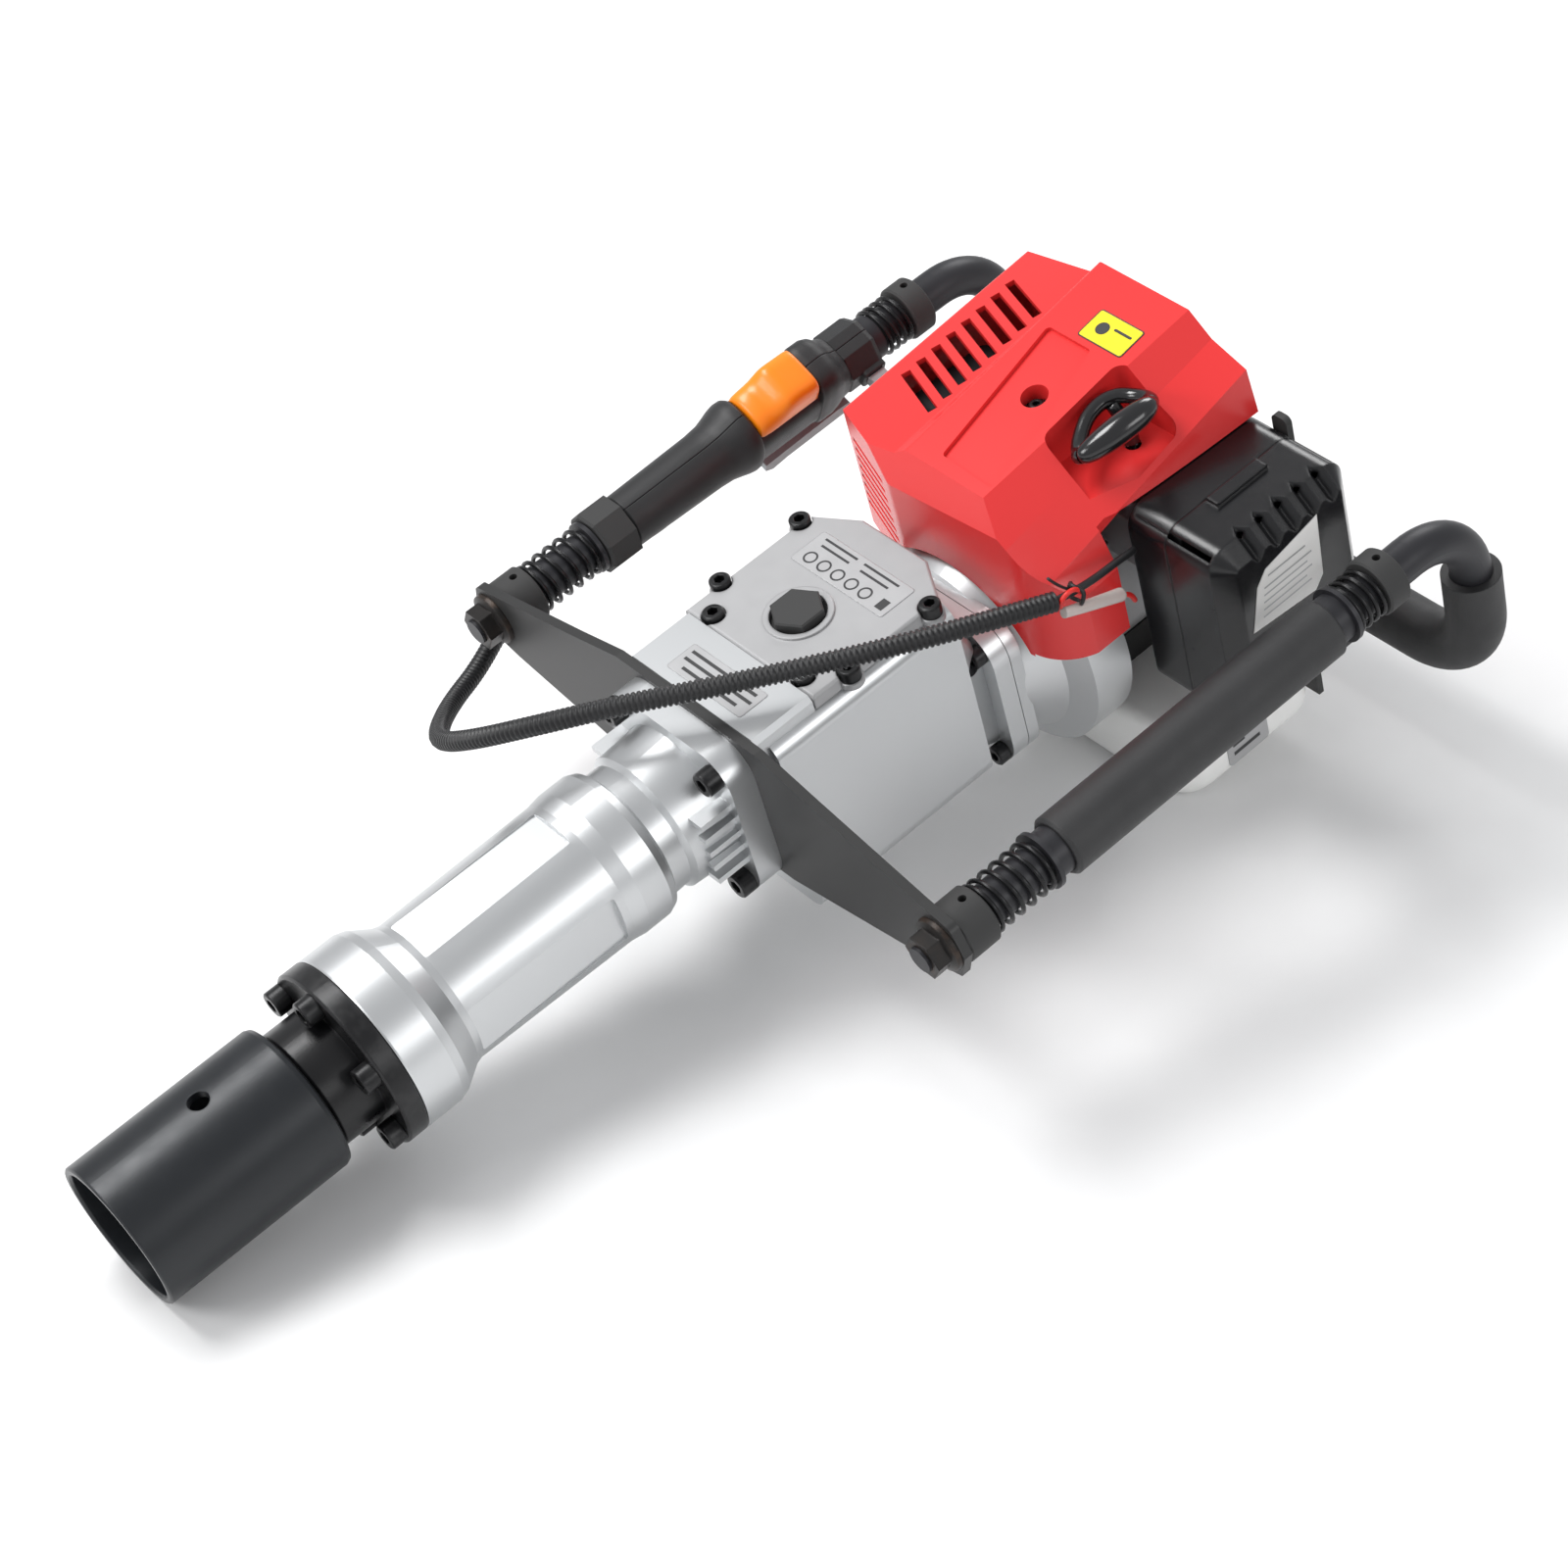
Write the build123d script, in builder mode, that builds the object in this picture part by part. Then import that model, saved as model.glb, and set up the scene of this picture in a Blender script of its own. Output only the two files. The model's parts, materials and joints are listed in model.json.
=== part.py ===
"""Petrol post driver (breaker-type rammer): a two-stroke engine, a bevel gear case, an air hammer and
a post sleeve in one line, with two sprung grips on a bent tube handle.

The tool frame has its X axis on the hammer's bore, from the sleeve's mouth towards the engine,
+Z towards the gear cover and +Y towards the throttle grip. At the end every piece is laid down in the
resting pose, nose low, on the sleeve's rim and the fuel tank, with the floor at Z = 0. Millimetres.
"""
from build123d import *
import math
import os

os.makedirs("parts", exist_ok=True)

# ---------------------------------------------------------------- driving dimensions
# post sleeve and nose
sleeve_r = 46.0
sleeve_bore_r = 41.0
sleeve_len = 124.5
sleeve_floor = 102.0
pin_hole_x = 73.0
pin_hole_r = 6.5
shank_r = 24.0
neck_r = 37.5
ring_r = 57.5
ring_x = 154.0
ring_t = 14.0
nose_bolt_r = 48.5

# hammer cylinder
barrel_r = 46.0
bore_r = 28.0
flange_x = 404.0
flange_half = 55.0
flange_bolt = 43.0
plate_x = 421.0
plate_t = 6.0

# handle
handle_y = 202.0
handle_z = 3.0
tube_r = 12.5
tube_bore_r = 10.2
stud_x = 405.0
front_collar_x = 431.0
rear_collar_x = 753.0
bend_r = 48.0
leg_x = 832.0
cross_z = -125.0
grip_x0 = 507.0
grip_x1 = 717.0
grip_r = 19.0
slide_r = 15.0
spring_r = 16.6
wire_r = 1.5

# gear case
case_half = 62.0
case_low = -88.0
cover_x0 = 470.0
cover_x1 = 583.0
cover_half = 57.0
cover_top = 59.0
cover_t = 9.0
crank_x = 508.5
crank_offset = 22.0
shaft_z = -49.0
neck_end = 600.0

# engine
bell_x1 = 636.0
fan_r = 88.0
fan_x1 = 664.0
cylinder_x = 706.0
starter_x = 737.0
starter_r = 66.0
tank_x0 = 668.0
tank_x1 = 786.0
tank_half = 108.0
tank_top = -116.0
tank_low = -180.0

# resting pose: tilt of the hammer axis, nose low
rest_tilt = 11.12

# screw heads
m8_head_r = 6.5
m8_head_h = 8.0
m8_key = 6.0
m10_head_r = 8.0
m10_head_h = 10.0
m10_key = 8.0
gap = 0.3

pieces = {}


# ---------------------------------------------------------------- helpers
def across(x, y=0.0, z=0.0):
    """A plane facing +X at x, with local x along Y and local y along Z."""
    return Plane(origin=(x, y, z), x_dir=(0, 1, 0), z_dir=(1, 0, 0))


def level(z, x=0.0, y=0.0):
    """A plane facing +Z."""
    return Plane(origin=(x, y, z), x_dir=(1, 0, 0), z_dir=(0, 0, 1))


def spin(points, y=0.0, z=0.0, mode=Mode.ADD):
    """Turn an outline of (x, radius) points about a line parallel to X."""
    upright = Plane(origin=(0, y, z), x_dir=(1, 0, 0), z_dir=(0, -1, 0))
    with BuildSketch(upright, mode=Mode.PRIVATE) as outline:
        with BuildLine():
            Polyline(*points, close=True)
        make_face()
    revolve(outline.sketch, axis=Axis((0, y, z), (1, 0, 0)), mode=mode)


def spin_up(points, x, y=0.0, mode=Mode.ADD):
    """Turn an outline of (radius, z) points about a line parallel to Z."""
    upright = Plane(origin=(x, y, 0), x_dir=(1, 0, 0), z_dir=(0, -1, 0))
    with BuildSketch(upright, mode=Mode.PRIVATE) as outline:
        with BuildLine():
            Polyline(*points, close=True)
        make_face()
    revolve(outline.sketch, axis=Axis((x, y, 0), (0, 0, 1)), mode=mode)


def rod_x(x0, x1, radius, y=0.0, z=0.0, mode=Mode.ADD):
    """A cylinder along X from x0 to x1."""
    with Locations(((x0 + x1) / 2, y, z)):
        Cylinder(radius, x1 - x0, rotation=(0, 90, 0), mode=mode)


def rod_z(z0, z1, radius, x, y=0.0, mode=Mode.ADD):
    """A cylinder along Z from z0 to z1."""
    with Locations((x, y, (z0 + z1) / 2)):
        Cylinder(radius, z1 - z0, mode=mode)


def rod_y(y0, y1, radius, x, z, mode=Mode.ADD):
    """A cylinder along Y from y0 to y1."""
    with Locations((x, (y0 + y1) / 2, z)):
        Cylinder(radius, y1 - y0, rotation=(90, 0, 0), mode=mode)


def block(x0, x1, y0, y1, z0, z1, mode=Mode.ADD):
    """A box between two corners."""
    with Locations(((x0 + x1) / 2, (y0 + y1) / 2, (z0 + z1) / 2)):
        Box(abs(x1 - x0), abs(y1 - y0), abs(z1 - z0), mode=mode)


def socket_screw(head_r, head_h, key, shank, length):
    """A socket head screw with its head above z = 0 and its shank below."""
    with BuildPart() as screw:
        with Locations((0, 0, head_h / 2)):
            Cylinder(head_r, head_h)
        chamfer(screw.edges().group_by(Axis.Z)[-1], 0.8)
        with Locations((0, 0, -length / 2)):
            Cylinder(shank, length)
        with BuildSketch(Plane.XY.offset(head_h)):
            RegularPolygon(key / 2, 6, major_radius=False)
        extrude(amount=-head_h * 0.6, mode=Mode.SUBTRACT)
    return screw.part


def place_screws(screw, points, turn):
    """Copies of a screw at the given points, all with one rotation."""
    for point in points:
        add(screw.moved(Location(point, turn)))


def keep(builder, label):
    """Remember a finished piece under its node's name."""
    builder.part.label = label
    pieces[label] = builder.part


HEAD_FRONT = (0, -90, 0)      # screw head towards -X
HEAD_REAR = (0, 90, 0)        # screw head towards +X
HEAD_UP = (0, 0, 0)

# ---------------------------------------------------------------- nose
nose_points = []
for index in range(6):
    angle = math.radians(30 + 60 * index)
    nose_points.append((ring_x, nose_bolt_r * math.cos(angle), nose_bolt_r * math.sin(angle)))

with BuildPart() as post_sleeve:
    spin([(0, sleeve_bore_r + 1), (1.5, sleeve_bore_r), (sleeve_floor - 10, sleeve_bore_r),
          (sleeve_floor - 10, sleeve_bore_r - 2.5), (sleeve_floor, sleeve_bore_r - 2.5),
          (sleeve_floor, shank_r + 10), (sleeve_len, shank_r + 10), (sleeve_len, sleeve_r - 4),
          (sleeve_len - 1.2, sleeve_r - 1.2), (sleeve_len - 4, sleeve_r), (1, sleeve_r), (0, sleeve_r - 1)])
    rod_z(-sleeve_r - 5, sleeve_r + 5, pin_hole_r, pin_hole_x, mode=Mode.SUBTRACT)
keep(post_sleeve, "post_sleeve")

with BuildPart() as anvil:
    spin([(sleeve_floor - 10, 0), (sleeve_floor - 10, sleeve_bore_r - 3.8),
          (sleeve_floor - 9, sleeve_bore_r - 2.8), (sleeve_floor, sleeve_bore_r - 2.8),
          (sleeve_floor, shank_r + 9.6), (sleeve_len + 0.2, shank_r + 9.6),
          (sleeve_len + 0.2, shank_r), (222, shank_r), (225, shank_r - 3), (225, 0)])
keep(anvil, "anvil")

with BuildPart() as nose_flange:
    spin([(sleeve_len + 1.3, shank_r + 9), (sleeve_len + 1.3, neck_r - 1.5), (sleeve_len + 2.8, neck_r),
          (ring_x, neck_r), (ring_x, ring_r - 1.5), (ring_x + 1.5, ring_r), (ring_x + ring_t - 1, ring_r),
          (ring_x + ring_t, ring_r - 1), (ring_x + ring_t, shank_r + 5),
          (140, shank_r + 5), (140, shank_r + 9)])
    for point in nose_points:
        rod_x(ring_x - 12, ring_x, 10.5, point[1], point[2], mode=Mode.SUBTRACT)
        rod_x(ring_x - 1, ring_x + ring_t + 1, 5.3, point[1], point[2], mode=Mode.SUBTRACT)
keep(nose_flange, "nose_flange")

with BuildPart() as nose_bush:
    spin([(141, shank_r + 0.06), (141, shank_r + 4.8), (168, shank_r + 4.8), (168, bore_r + 4.8),
          (172, bore_r + 4.8), (172, shank_r + 0.06)])
keep(nose_bush, "nose_bush")

# ---------------------------------------------------------------- hammer cylinder
with BuildPart() as hammer_cylinder:
    spin([(168, ring_r - 0.5), (169, ring_r), (192, ring_r), (198, ring_r - 1.8), (211, barrel_r + 1.5),
          (216, barrel_r), (325, barrel_r + 1.5), (335, barrel_r + 3), (352, barrel_r + 3),
          (357, barrel_r + 1), (360, barrel_r - 4), (372, barrel_r - 4.5), (375, barrel_r - 1),
          (flange_x, barrel_r + 1),
          (flange_x, bore_r), (172.4, bore_r), (172.4, bore_r + 5), (168, bore_r + 5)])
    with BuildSketch(across(flange_x)):
        RectangleRounded(2 * flange_half, 2 * flange_half, 22)
    extrude(amount=plate_x - flange_x)
    for side in (0, 90, 180, 270):
        with BuildSketch(Plane.XY.rotated((side, 0, 0)).offset(barrel_r + 6)):
            with Locations((268, 0)):
                RectangleRounded(104, 34, 2)
        extrude(amount=-9.2, mode=Mode.SUBTRACT)
    rod_x(flange_x - 1, plate_x + 1, bore_r, mode=Mode.SUBTRACT)
    for y in (-flange_bolt, flange_bolt):
        for z in (-flange_bolt, flange_bolt):
            rod_x(374, flange_x, 9.5, y, z, mode=Mode.SUBTRACT)
            rod_x(flange_x - 1, plate_x + 1, 5.3, y, z, mode=Mode.SUBTRACT)
    for side in (-1, 1):
        for row in range(-2, 3):
            block(382, flange_x, side * 38, side * 50, row * 11 - 2, row * 11 + 2)
    for point in nose_points:
        rod_x(160, 192, 5.1, point[1], point[2], mode=Mode.SUBTRACT)
    rod_x(172.4, plate_x + 1, bore_r, mode=Mode.SUBTRACT)
keep(hammer_cylinder, "hammer_cylinder")

with BuildPart() as ram:
    spin([(235, 0), (235, bore_r - 3), (238, bore_r - 0.2), (262, bore_r - 0.2), (262, bore_r - 3.2),
          (267, bore_r - 3.2), (267, bore_r - 0.2), (300, bore_r - 0.2), (300, 0)])
keep(ram, "ram")

piston_x0 = 350.0
piston_x1 = 392.0
with BuildPart() as drive_piston:
    spin([(piston_x0, 0), (piston_x0, bore_r - 0.2), (piston_x1, bore_r - 0.2), (piston_x1, bore_r - 6),
          (piston_x0 + 14, bore_r - 6), (piston_x0 + 14, 0)])
    rod_z(-bore_r + 2, bore_r - 2, 6.25, piston_x0 + 28)
keep(drive_piston, "drive_piston")

with BuildPart() as hammer_rod:
    with BuildSketch(level(-6)):
        with Locations((piston_x0 + 28, 0)):
            Circle(12)
        with Locations((crank_x - crank_offset, 0)):
            Circle(16)
        with Locations(((piston_x0 + 28 + crank_x - crank_offset) / 2, 0)):
            Rectangle(crank_x - crank_offset - piston_x0 - 40, 16)
    extrude(amount=12)
    rod_z(-10, 10, 6.32, piston_x0 + 28, mode=Mode.SUBTRACT)
    rod_z(-10, 10, 9.0, crank_x - crank_offset, mode=Mode.SUBTRACT)
keep(hammer_rod, "hammer_rod")

flange_points = []
for y in (-flange_bolt, flange_bolt):
    for z in (-flange_bolt, flange_bolt):
        flange_points.append((flange_x, y, z))
m10_nose = socket_screw(m10_head_r, m10_head_h, m10_key, 5.0, 34)
m10_flange = socket_screw(m10_head_r, m10_head_h, m10_key, 5.0, 42)
with BuildPart() as hammer_screws:
    place_screws(m10_nose, nose_points, HEAD_FRONT)
    place_screws(m10_flange, flange_points, HEAD_FRONT)
keep(hammer_screws, "hammer_screws")

# ---------------------------------------------------------------- bracket plate
with BuildPart() as bracket_plate:
    with BuildSketch(across(plate_x)):
        with BuildLine():
            top = Polyline((-handle_y - 19, handle_z), (-handle_y - 12, 22), (-190, 27), (-105, 47),
                           (-62, 58), (62, 58), (105, 47), (190, 27), (handle_y + 12, 22),
                           (handle_y + 19, handle_z))
            Polyline(top @ 1, (handle_y + 12, -16), (190, -23), (62, -47), (-62, -47), (-190, -23),
                     (-handle_y - 12, -16), top @ 0)
        make_face()
        Circle(bore_r + 2, mode=Mode.SUBTRACT)
        with Locations((-handle_y, handle_z), (handle_y, handle_z)):
            Circle(8.3, mode=Mode.SUBTRACT)
        with GridLocations(2 * flange_bolt, 2 * flange_bolt, 2, 2):
            Circle(5.3, mode=Mode.SUBTRACT)
    extrude(amount=plate_t)
    fillet(bracket_plate.edges().filter_by(Axis.X).filter_by(lambda edge: abs(edge.center().Y) > 170
           and edge.center().Z > 10), 6)
keep(bracket_plate, "bracket_plate")

# ---------------------------------------------------------------- handlebar
with BuildPart() as handlebar:
    with BuildLine() as bar_route:
        FilletPolyline((front_collar_x - 4, handle_y, handle_z), (leg_x, handle_y, handle_z),
                       (leg_x, handle_y, cross_z), (leg_x, -handle_y, cross_z),
                       (leg_x, -handle_y, handle_z), (front_collar_x - 4, -handle_y, handle_z),
                       radius=bend_r)
    with BuildSketch(across(front_collar_x - 4, handle_y, handle_z)):
        Circle(tube_r)
    sweep(path=bar_route.wire())
    with BuildSketch(across(front_collar_x - 4, handle_y, handle_z)):
        Circle(tube_bore_r)
    sweep(path=bar_route.wire(), mode=Mode.SUBTRACT)
    for y in (-handle_y, handle_y):
        rod_x(stud_x, front_collar_x - 4, 8.0, y, handle_z)
        rod_x(front_collar_x - 4, 460, tube_bore_r + 0.4, y, handle_z)
keep(handlebar, "handlebar")

with BuildPart() as handle_nuts:
    for y in (-handle_y, handle_y):
        with BuildSketch(across(stud_x + 2, y, handle_z)):
            RegularPolygon(12, 6, major_radius=False)
        extrude(amount=10)
        spin([(stud_x + 11, 0), (stud_x + 11, 13), (stud_x + 13, 17), (plate_x, 17.5), (plate_x, 0)],
             y, handle_z)
        rod_x(stud_x, plate_x + 1, 8.05, y, handle_z, mode=Mode.SUBTRACT)
keep(handle_nuts, "handle_nuts")

with BuildPart() as spring_collars:
    for y in (-handle_y, handle_y):
        for x0, x1 in ((plate_x + plate_t, front_collar_x + 18), (rear_collar_x, rear_collar_x + 16)):
            rod_x(x0, x1, 18.5, y, handle_z)
    chamfer(spring_collars.edges().filter_by(GeomType.CIRCLE), 1.2)
    for y in (-handle_y, handle_y):
        for x in (front_collar_x + 10, rear_collar_x + 9):
            rod_z(handle_z + 13, handle_z + 25, 2.5, x, y, mode=Mode.SUBTRACT)
        rod_x(plate_x, front_collar_x + 30, tube_r + 0.05, y, handle_z, mode=Mode.SUBTRACT)
        rod_x(rear_collar_x - 10, rear_collar_x + 30, tube_r + 0.05, y, handle_z, mode=Mode.SUBTRACT)
keep(spring_collars, "spring_collars")


def spring_pair(x0, x1, label):
    """The plain closed envelopes of one coil spring round each handle tube."""
    with BuildPart() as envelopes:
        for y in (-handle_y, handle_y):
            rod_x(x0, x1, spring_r + wire_r, y, handle_z)
            rod_x(x0 - 1, x1 + 1, spring_r - wire_r, y, handle_z, mode=Mode.SUBTRACT)
    keep(envelopes, label)


slide_x0 = grip_x0 - 13.0
slide_x1 = grip_x1 + 13.0
spring_pair(front_collar_x + 18.2, slide_x0 - 0.2, "front_springs")
spring_pair(slide_x1 + 0.2, rear_collar_x - 0.2, "rear_springs")

# ---------------------------------------------------------------- right grip
with BuildPart() as right_grip_tube:
    spin([(slide_x0, tube_r + 0.08), (slide_x0, slide_r + 3.2), (slide_x0 + 3, slide_r + 3.2),
          (slide_x0 + 3, slide_r),
          (slide_x1 - 3, slide_r), (slide_x1 - 3, slide_r + 3.2), (slide_x1, slide_r + 3.2),
          (slide_x1, tube_r + 0.08)], -handle_y, handle_z)
keep(right_grip_tube, "right_grip_tube")

with BuildPart() as right_grip_foam:
    spin([(grip_x0, slide_r + 0.1), (grip_x0, grip_r - 2), (grip_x0 + 2, grip_r), (grip_x1 - 2, grip_r),
          (grip_x1, grip_r - 2), (grip_x1, slide_r + 0.1)], -handle_y, handle_z)
keep(right_grip_foam, "right_grip_foam")

# ---------------------------------------------------------------- throttle grip, left
lock_x0 = 620.0
lock_x1 = 668.0
grip_lean = 28.0
lean = (Location((0, handle_y, handle_z)) * Location((0, 0, 0), (grip_lean, 0, 0))
        * Location((0, -handle_y, -handle_z)))


def keep_leaning(part, label):
    """Record a throttle grip piece: drawn upright, then turned on the tube."""
    keep(part, label)
    pieces[label] = pieces[label].moved(lean)


with BuildPart() as left_grip_tube:
    spin([(slide_x0, tube_r + 0.08), (slide_x0, slide_r + 2.5), (slide_x0 + 3, slide_r + 2.5),
          (slide_x0 + 3, slide_r),
          (slide_x1, slide_r), (slide_x1, tube_r + 0.08)], handle_y, handle_z)
keep(left_grip_tube, "left_grip_tube")

with BuildPart() as grip_clamp:
    with BuildSketch(across(grip_x0 - 9, handle_y, handle_z)):
        RegularPolygon(20, 8, rotation=22.5, major_radius=False)
    extrude(amount=22)
    chamfer(grip_clamp.edges().filter_by(GeomType.LINE).group_by(Axis.X)[0], 1.5)
    rod_x(grip_x0 - 20, grip_x0 + 20, slide_r + 0.1, handle_y, handle_z, mode=Mode.SUBTRACT)
keep(grip_clamp, "grip_clamp")


def grip_shell(side, label):
    """One half of the throttle grip's shell, split on the tube's vertical plane."""
    y0 = handle_y
    with BuildPart() as shell:
        spin([(grip_x0 + 14, 0), (grip_x0 + 14, 17.5), (grip_x0 + 18, 18.5), (595, 21), (606, 24), (610, 26),
              (616, 26), (616, 0)], y0, handle_z)
        with BuildSketch(across(616, y0, handle_z + 0.5)):
            RectangleRounded(40, 41, 12)
        extrude(amount=54)
        with BuildSketch(across(lock_x1, y0, handle_z + 3)):
            RectangleRounded(40, 50, 13)
        extrude(amount=24)
        with BuildSketch(across(690, y0, handle_z - 1)):
            RegularPolygon(22, 8, rotation=22.5, major_radius=False)
        extrude(amount=slide_x1 - 696)
        block(lock_x0 - 4, lock_x1 + 3, y0 - 30, y0 + 30, handle_z + 11, 60, mode=Mode.SUBTRACT)
        block(622, 712, y0 - 8, y0 + 8, -40, handle_z - 15.4, mode=Mode.SUBTRACT)
        rod_x(grip_x0, slide_x1 + 5, slide_r + 0.15, y0, handle_z, mode=Mode.SUBTRACT)
        block(grip_x0, slide_x1 + 5, y0, y0 + side * 60, -60, 60, mode=Mode.INTERSECT)
        rod_y(y0 - 30, y0 + 30, 2.6, slide_x1 - 12, handle_z - 19, mode=Mode.SUBTRACT)
        rod_y(y0 - 8.6, y0 + 8.6, 2.05, 704, handle_z - 21, mode=Mode.SUBTRACT)
    keep_leaning(shell, label)


grip_shell(1, "grip_shell_outer")
grip_shell(-1, "grip_shell_inner")

with BuildPart() as throttle_lock:
    with BuildSketch(Plane(origin=(0, handle_y, 0), x_dir=(1, 0, 0), z_dir=(0, -1, 0))):
        with BuildLine():
            Polyline((lock_x0, 22), (lock_x0 + 4, 30), (lock_x0 + 15, 31), (lock_x0 + 21, 38),
                     (lock_x1 - 3, 36), (lock_x1, 33), (lock_x1, 20), (lock_x0, 20), close=True)
        make_face()
    extrude(amount=17, both=True)
    fillet(throttle_lock.edges().filter_by(GeomType.LINE).group_by(Axis.Z)[-1], 2.5)
    rod_x(lock_x0 - 5, lock_x1 + 5, 21, handle_y, handle_z, mode=Mode.SUBTRACT)
keep_leaning(throttle_lock, "throttle_lock")

with BuildPart() as throttle_trigger:
    with BuildSketch(Plane(origin=(0, handle_y, 0), x_dir=(1, 0, 0), z_dir=(0, -1, 0))):
        with BuildLine():
            Polyline((638, -28), (640, -38), (700, -36), (709, -25), (709, -16.5), (700, -17), close=True)
        make_face()
    extrude(amount=7, both=True)
    with BuildSketch(Plane(origin=(0, handle_y, 0), x_dir=(1, 0, 0), z_dir=(0, -1, 0))):
        with BuildLine():
            Polyline((630, -28.5), (631, -37), (638, -42), (650, -39.5), (698, -38.5), (704, -34), (700, -26),
                     (690, -25), close=True)
        make_face()
    extrude(amount=17, both=True)
    rod_y(handle_y - 8.4, handle_y + 8.4, 2.0, 704, handle_z - 21)
keep_leaning(throttle_trigger, "throttle_trigger")

with BuildPart() as stop_switch:
    block(706, 718, handle_y - 28.5, handle_y - 22.3, 0, 9)
    fillet(stop_switch.edges().filter_by(Axis.X), 1)
keep_leaning(stop_switch, "stop_switch")

grip_screw = socket_screw(4.0, 3.0, 2.5, 2.5, 36)
with BuildPart() as grip_screws:
    add(grip_screw.moved(Location((slide_x1 - 12, handle_y - 21.2, handle_z - 19), (90, 0, 0))))
keep_leaning(grip_screws, "grip_screws")

# ---------------------------------------------------------------- rear foam sleeve on the bend
foam_r = 18.0
foam_z = -46.0
with BuildPart() as rear_foam:
    with BuildLine() as foam_route:
        FilletPolyline((leg_x, handle_y, foam_z), (leg_x, handle_y, cross_z), (leg_x, -handle_y, cross_z),
                       (leg_x, -handle_y, foam_z), radius=bend_r)
    with BuildSketch(level(foam_z, leg_x, handle_y)):
        Circle(foam_r)
        Circle(tube_r + 0.15, mode=Mode.SUBTRACT)
    sweep(path=foam_route.wire())
keep(rear_foam, "rear_foam")

# ---------------------------------------------------------------- gear case
neck_half = 60.0
neck_bolts = [(50, shaft_z + 41), (50, shaft_z - 41), (-50, shaft_z + 41), (-50, shaft_z - 41)]
with BuildPart() as gear_case:
    with BuildSketch(across(plate_x + plate_t)):
        RectangleRounded(2 * flange_half, 2 * flange_half, 20)
    extrude(amount=14)
    block(plate_x + plate_t, cover_x0 - 0.5, -flange_half - 1, flange_half + 1, -50, cover_top)
    with BuildSketch(across(plate_x + plate_t + 8, 0, (50 + case_low) / 2)):
        RectangleRounded(2 * case_half, 50 - case_low, 12)
    extrude(amount=570 - plate_x - plate_t - 8)
    with BuildSketch(across(568, 0, -12)):
        RectangleRounded(2 * case_half - 4, 124 - 4, 14)
    with BuildSketch(across(590, 0, shaft_z)):
        RectangleRounded(2 * 48, 2 * 48, 22)
    loft()
    with BuildSketch(across(588, 0, shaft_z)):
        RectangleRounded(2 * neck_half, 2 * 55, 24)
    extrude(amount=neck_end - 588)
    chamfer(gear_case.edges().filter_by(Axis.X).group_by(Axis.Z)[-1], 3)
    # hollow for the crank and the gears
    rod_z(case_low + 14, 50.5, 47, crank_x, mode=Mode.SUBTRACT)
    block(plate_x, crank_x, -24, 24, -20, 24, mode=Mode.SUBTRACT)
    rod_x(plate_x, 445, bore_r, mode=Mode.SUBTRACT)
    rod_x(540, neck_end + 1, 18.3, 0, shaft_z, mode=Mode.SUBTRACT)
    rod_z(case_low + 4, case_low + 20, 10.03, crank_x, mode=Mode.SUBTRACT)
    for point in flange_points:
        rod_x(plate_x, 447, 5.1, point[1], point[2], mode=Mode.SUBTRACT)
    for y, z in neck_bolts:
        rod_x(572, 588, 7.6, y, z, mode=Mode.SUBTRACT)
        rod_x(587, 601, 4.2, y, z, mode=Mode.SUBTRACT)
keep(gear_case, "gear_case")

cover_outline = [(cover_x0, -cover_half), (cover_x0, cover_half), (566, cover_half),
                 (cover_x1, 28), (cover_x1, -28), (566, -cover_half)]
ear_points = [(497, cover_half), (497, -cover_half), (559, cover_half), (559, -cover_half)]
front_points = [(477.5, 40), (477.5, -40)]
with BuildPart() as gear_cover:
    with BuildSketch(level(cover_top - cover_t)):
        with BuildLine():
            Polyline(*cover_outline, close=True)
        make_face()
        with Locations(*ear_points):
            Circle(7.5)
    extrude(amount=cover_t)
    chamfer(gear_cover.faces().sort_by(Axis.Z)[-1].edges(), 1.4)
    rod_z(cover_top, cover_top + 1.2, 21, crank_x)
    rod_z(cover_top - 5, cover_top + 3, 17.2, crank_x, mode=Mode.SUBTRACT)
    rod_z(40, cover_top + 3, 12.05, crank_x, mode=Mode.SUBTRACT)
    for point in ear_points + front_points:
        rod_z(cover_top - 5, cover_top + 5, 7.6, point[0], point[1], mode=Mode.SUBTRACT)
        rod_z(40, cover_top, 4.3, point[0], point[1], mode=Mode.SUBTRACT)
keep(gear_cover, "gear_cover")

m8_cover = socket_screw(m8_head_r, m8_head_h, m8_key, 4.0, 4.0)
m8_neck = socket_screw(m8_head_r, m8_head_h, m8_key, 4.0, 22)
with BuildPart() as case_screws:
    place_screws(m8_cover, [(x, y, cover_top - 5) for x, y in ear_points + front_points], HEAD_UP)
    place_screws(m8_neck, [(588, y, z) for y, z in neck_bolts], HEAD_FRONT)
keep(case_screws, "case_screws")

with BuildPart() as oil_plug:
    with BuildSketch(level(cover_top - 4.8)):
        with Locations((crank_x, 0)):
            Circle(16.8)
    extrude(amount=2.5)
    with BuildSketch(level(cover_top - 2.3)):
        with Locations((crank_x, 0)):
            RegularPolygon(14.5, 6, major_radius=False)
    extrude(amount=8)
    chamfer(oil_plug.edges().group_by(Axis.Z)[-1], 1.0)
    rod_z(46, cover_top - 4.8, 12.0, crank_x)
keep(oil_plug, "oil_plug")

# ---------------------------------------------------------------- hammer crank and bevel drive
with BuildPart() as hammer_crank:
    spin_up([(0, case_low + 5), (9.98, case_low + 5), (9.98, -26), (36, -26), (36, -12), (0, -12)], crank_x)
    rod_z(-13, -6.6, 8.0, crank_x - crank_offset)
keep(hammer_crank, "hammer_crank")

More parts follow.
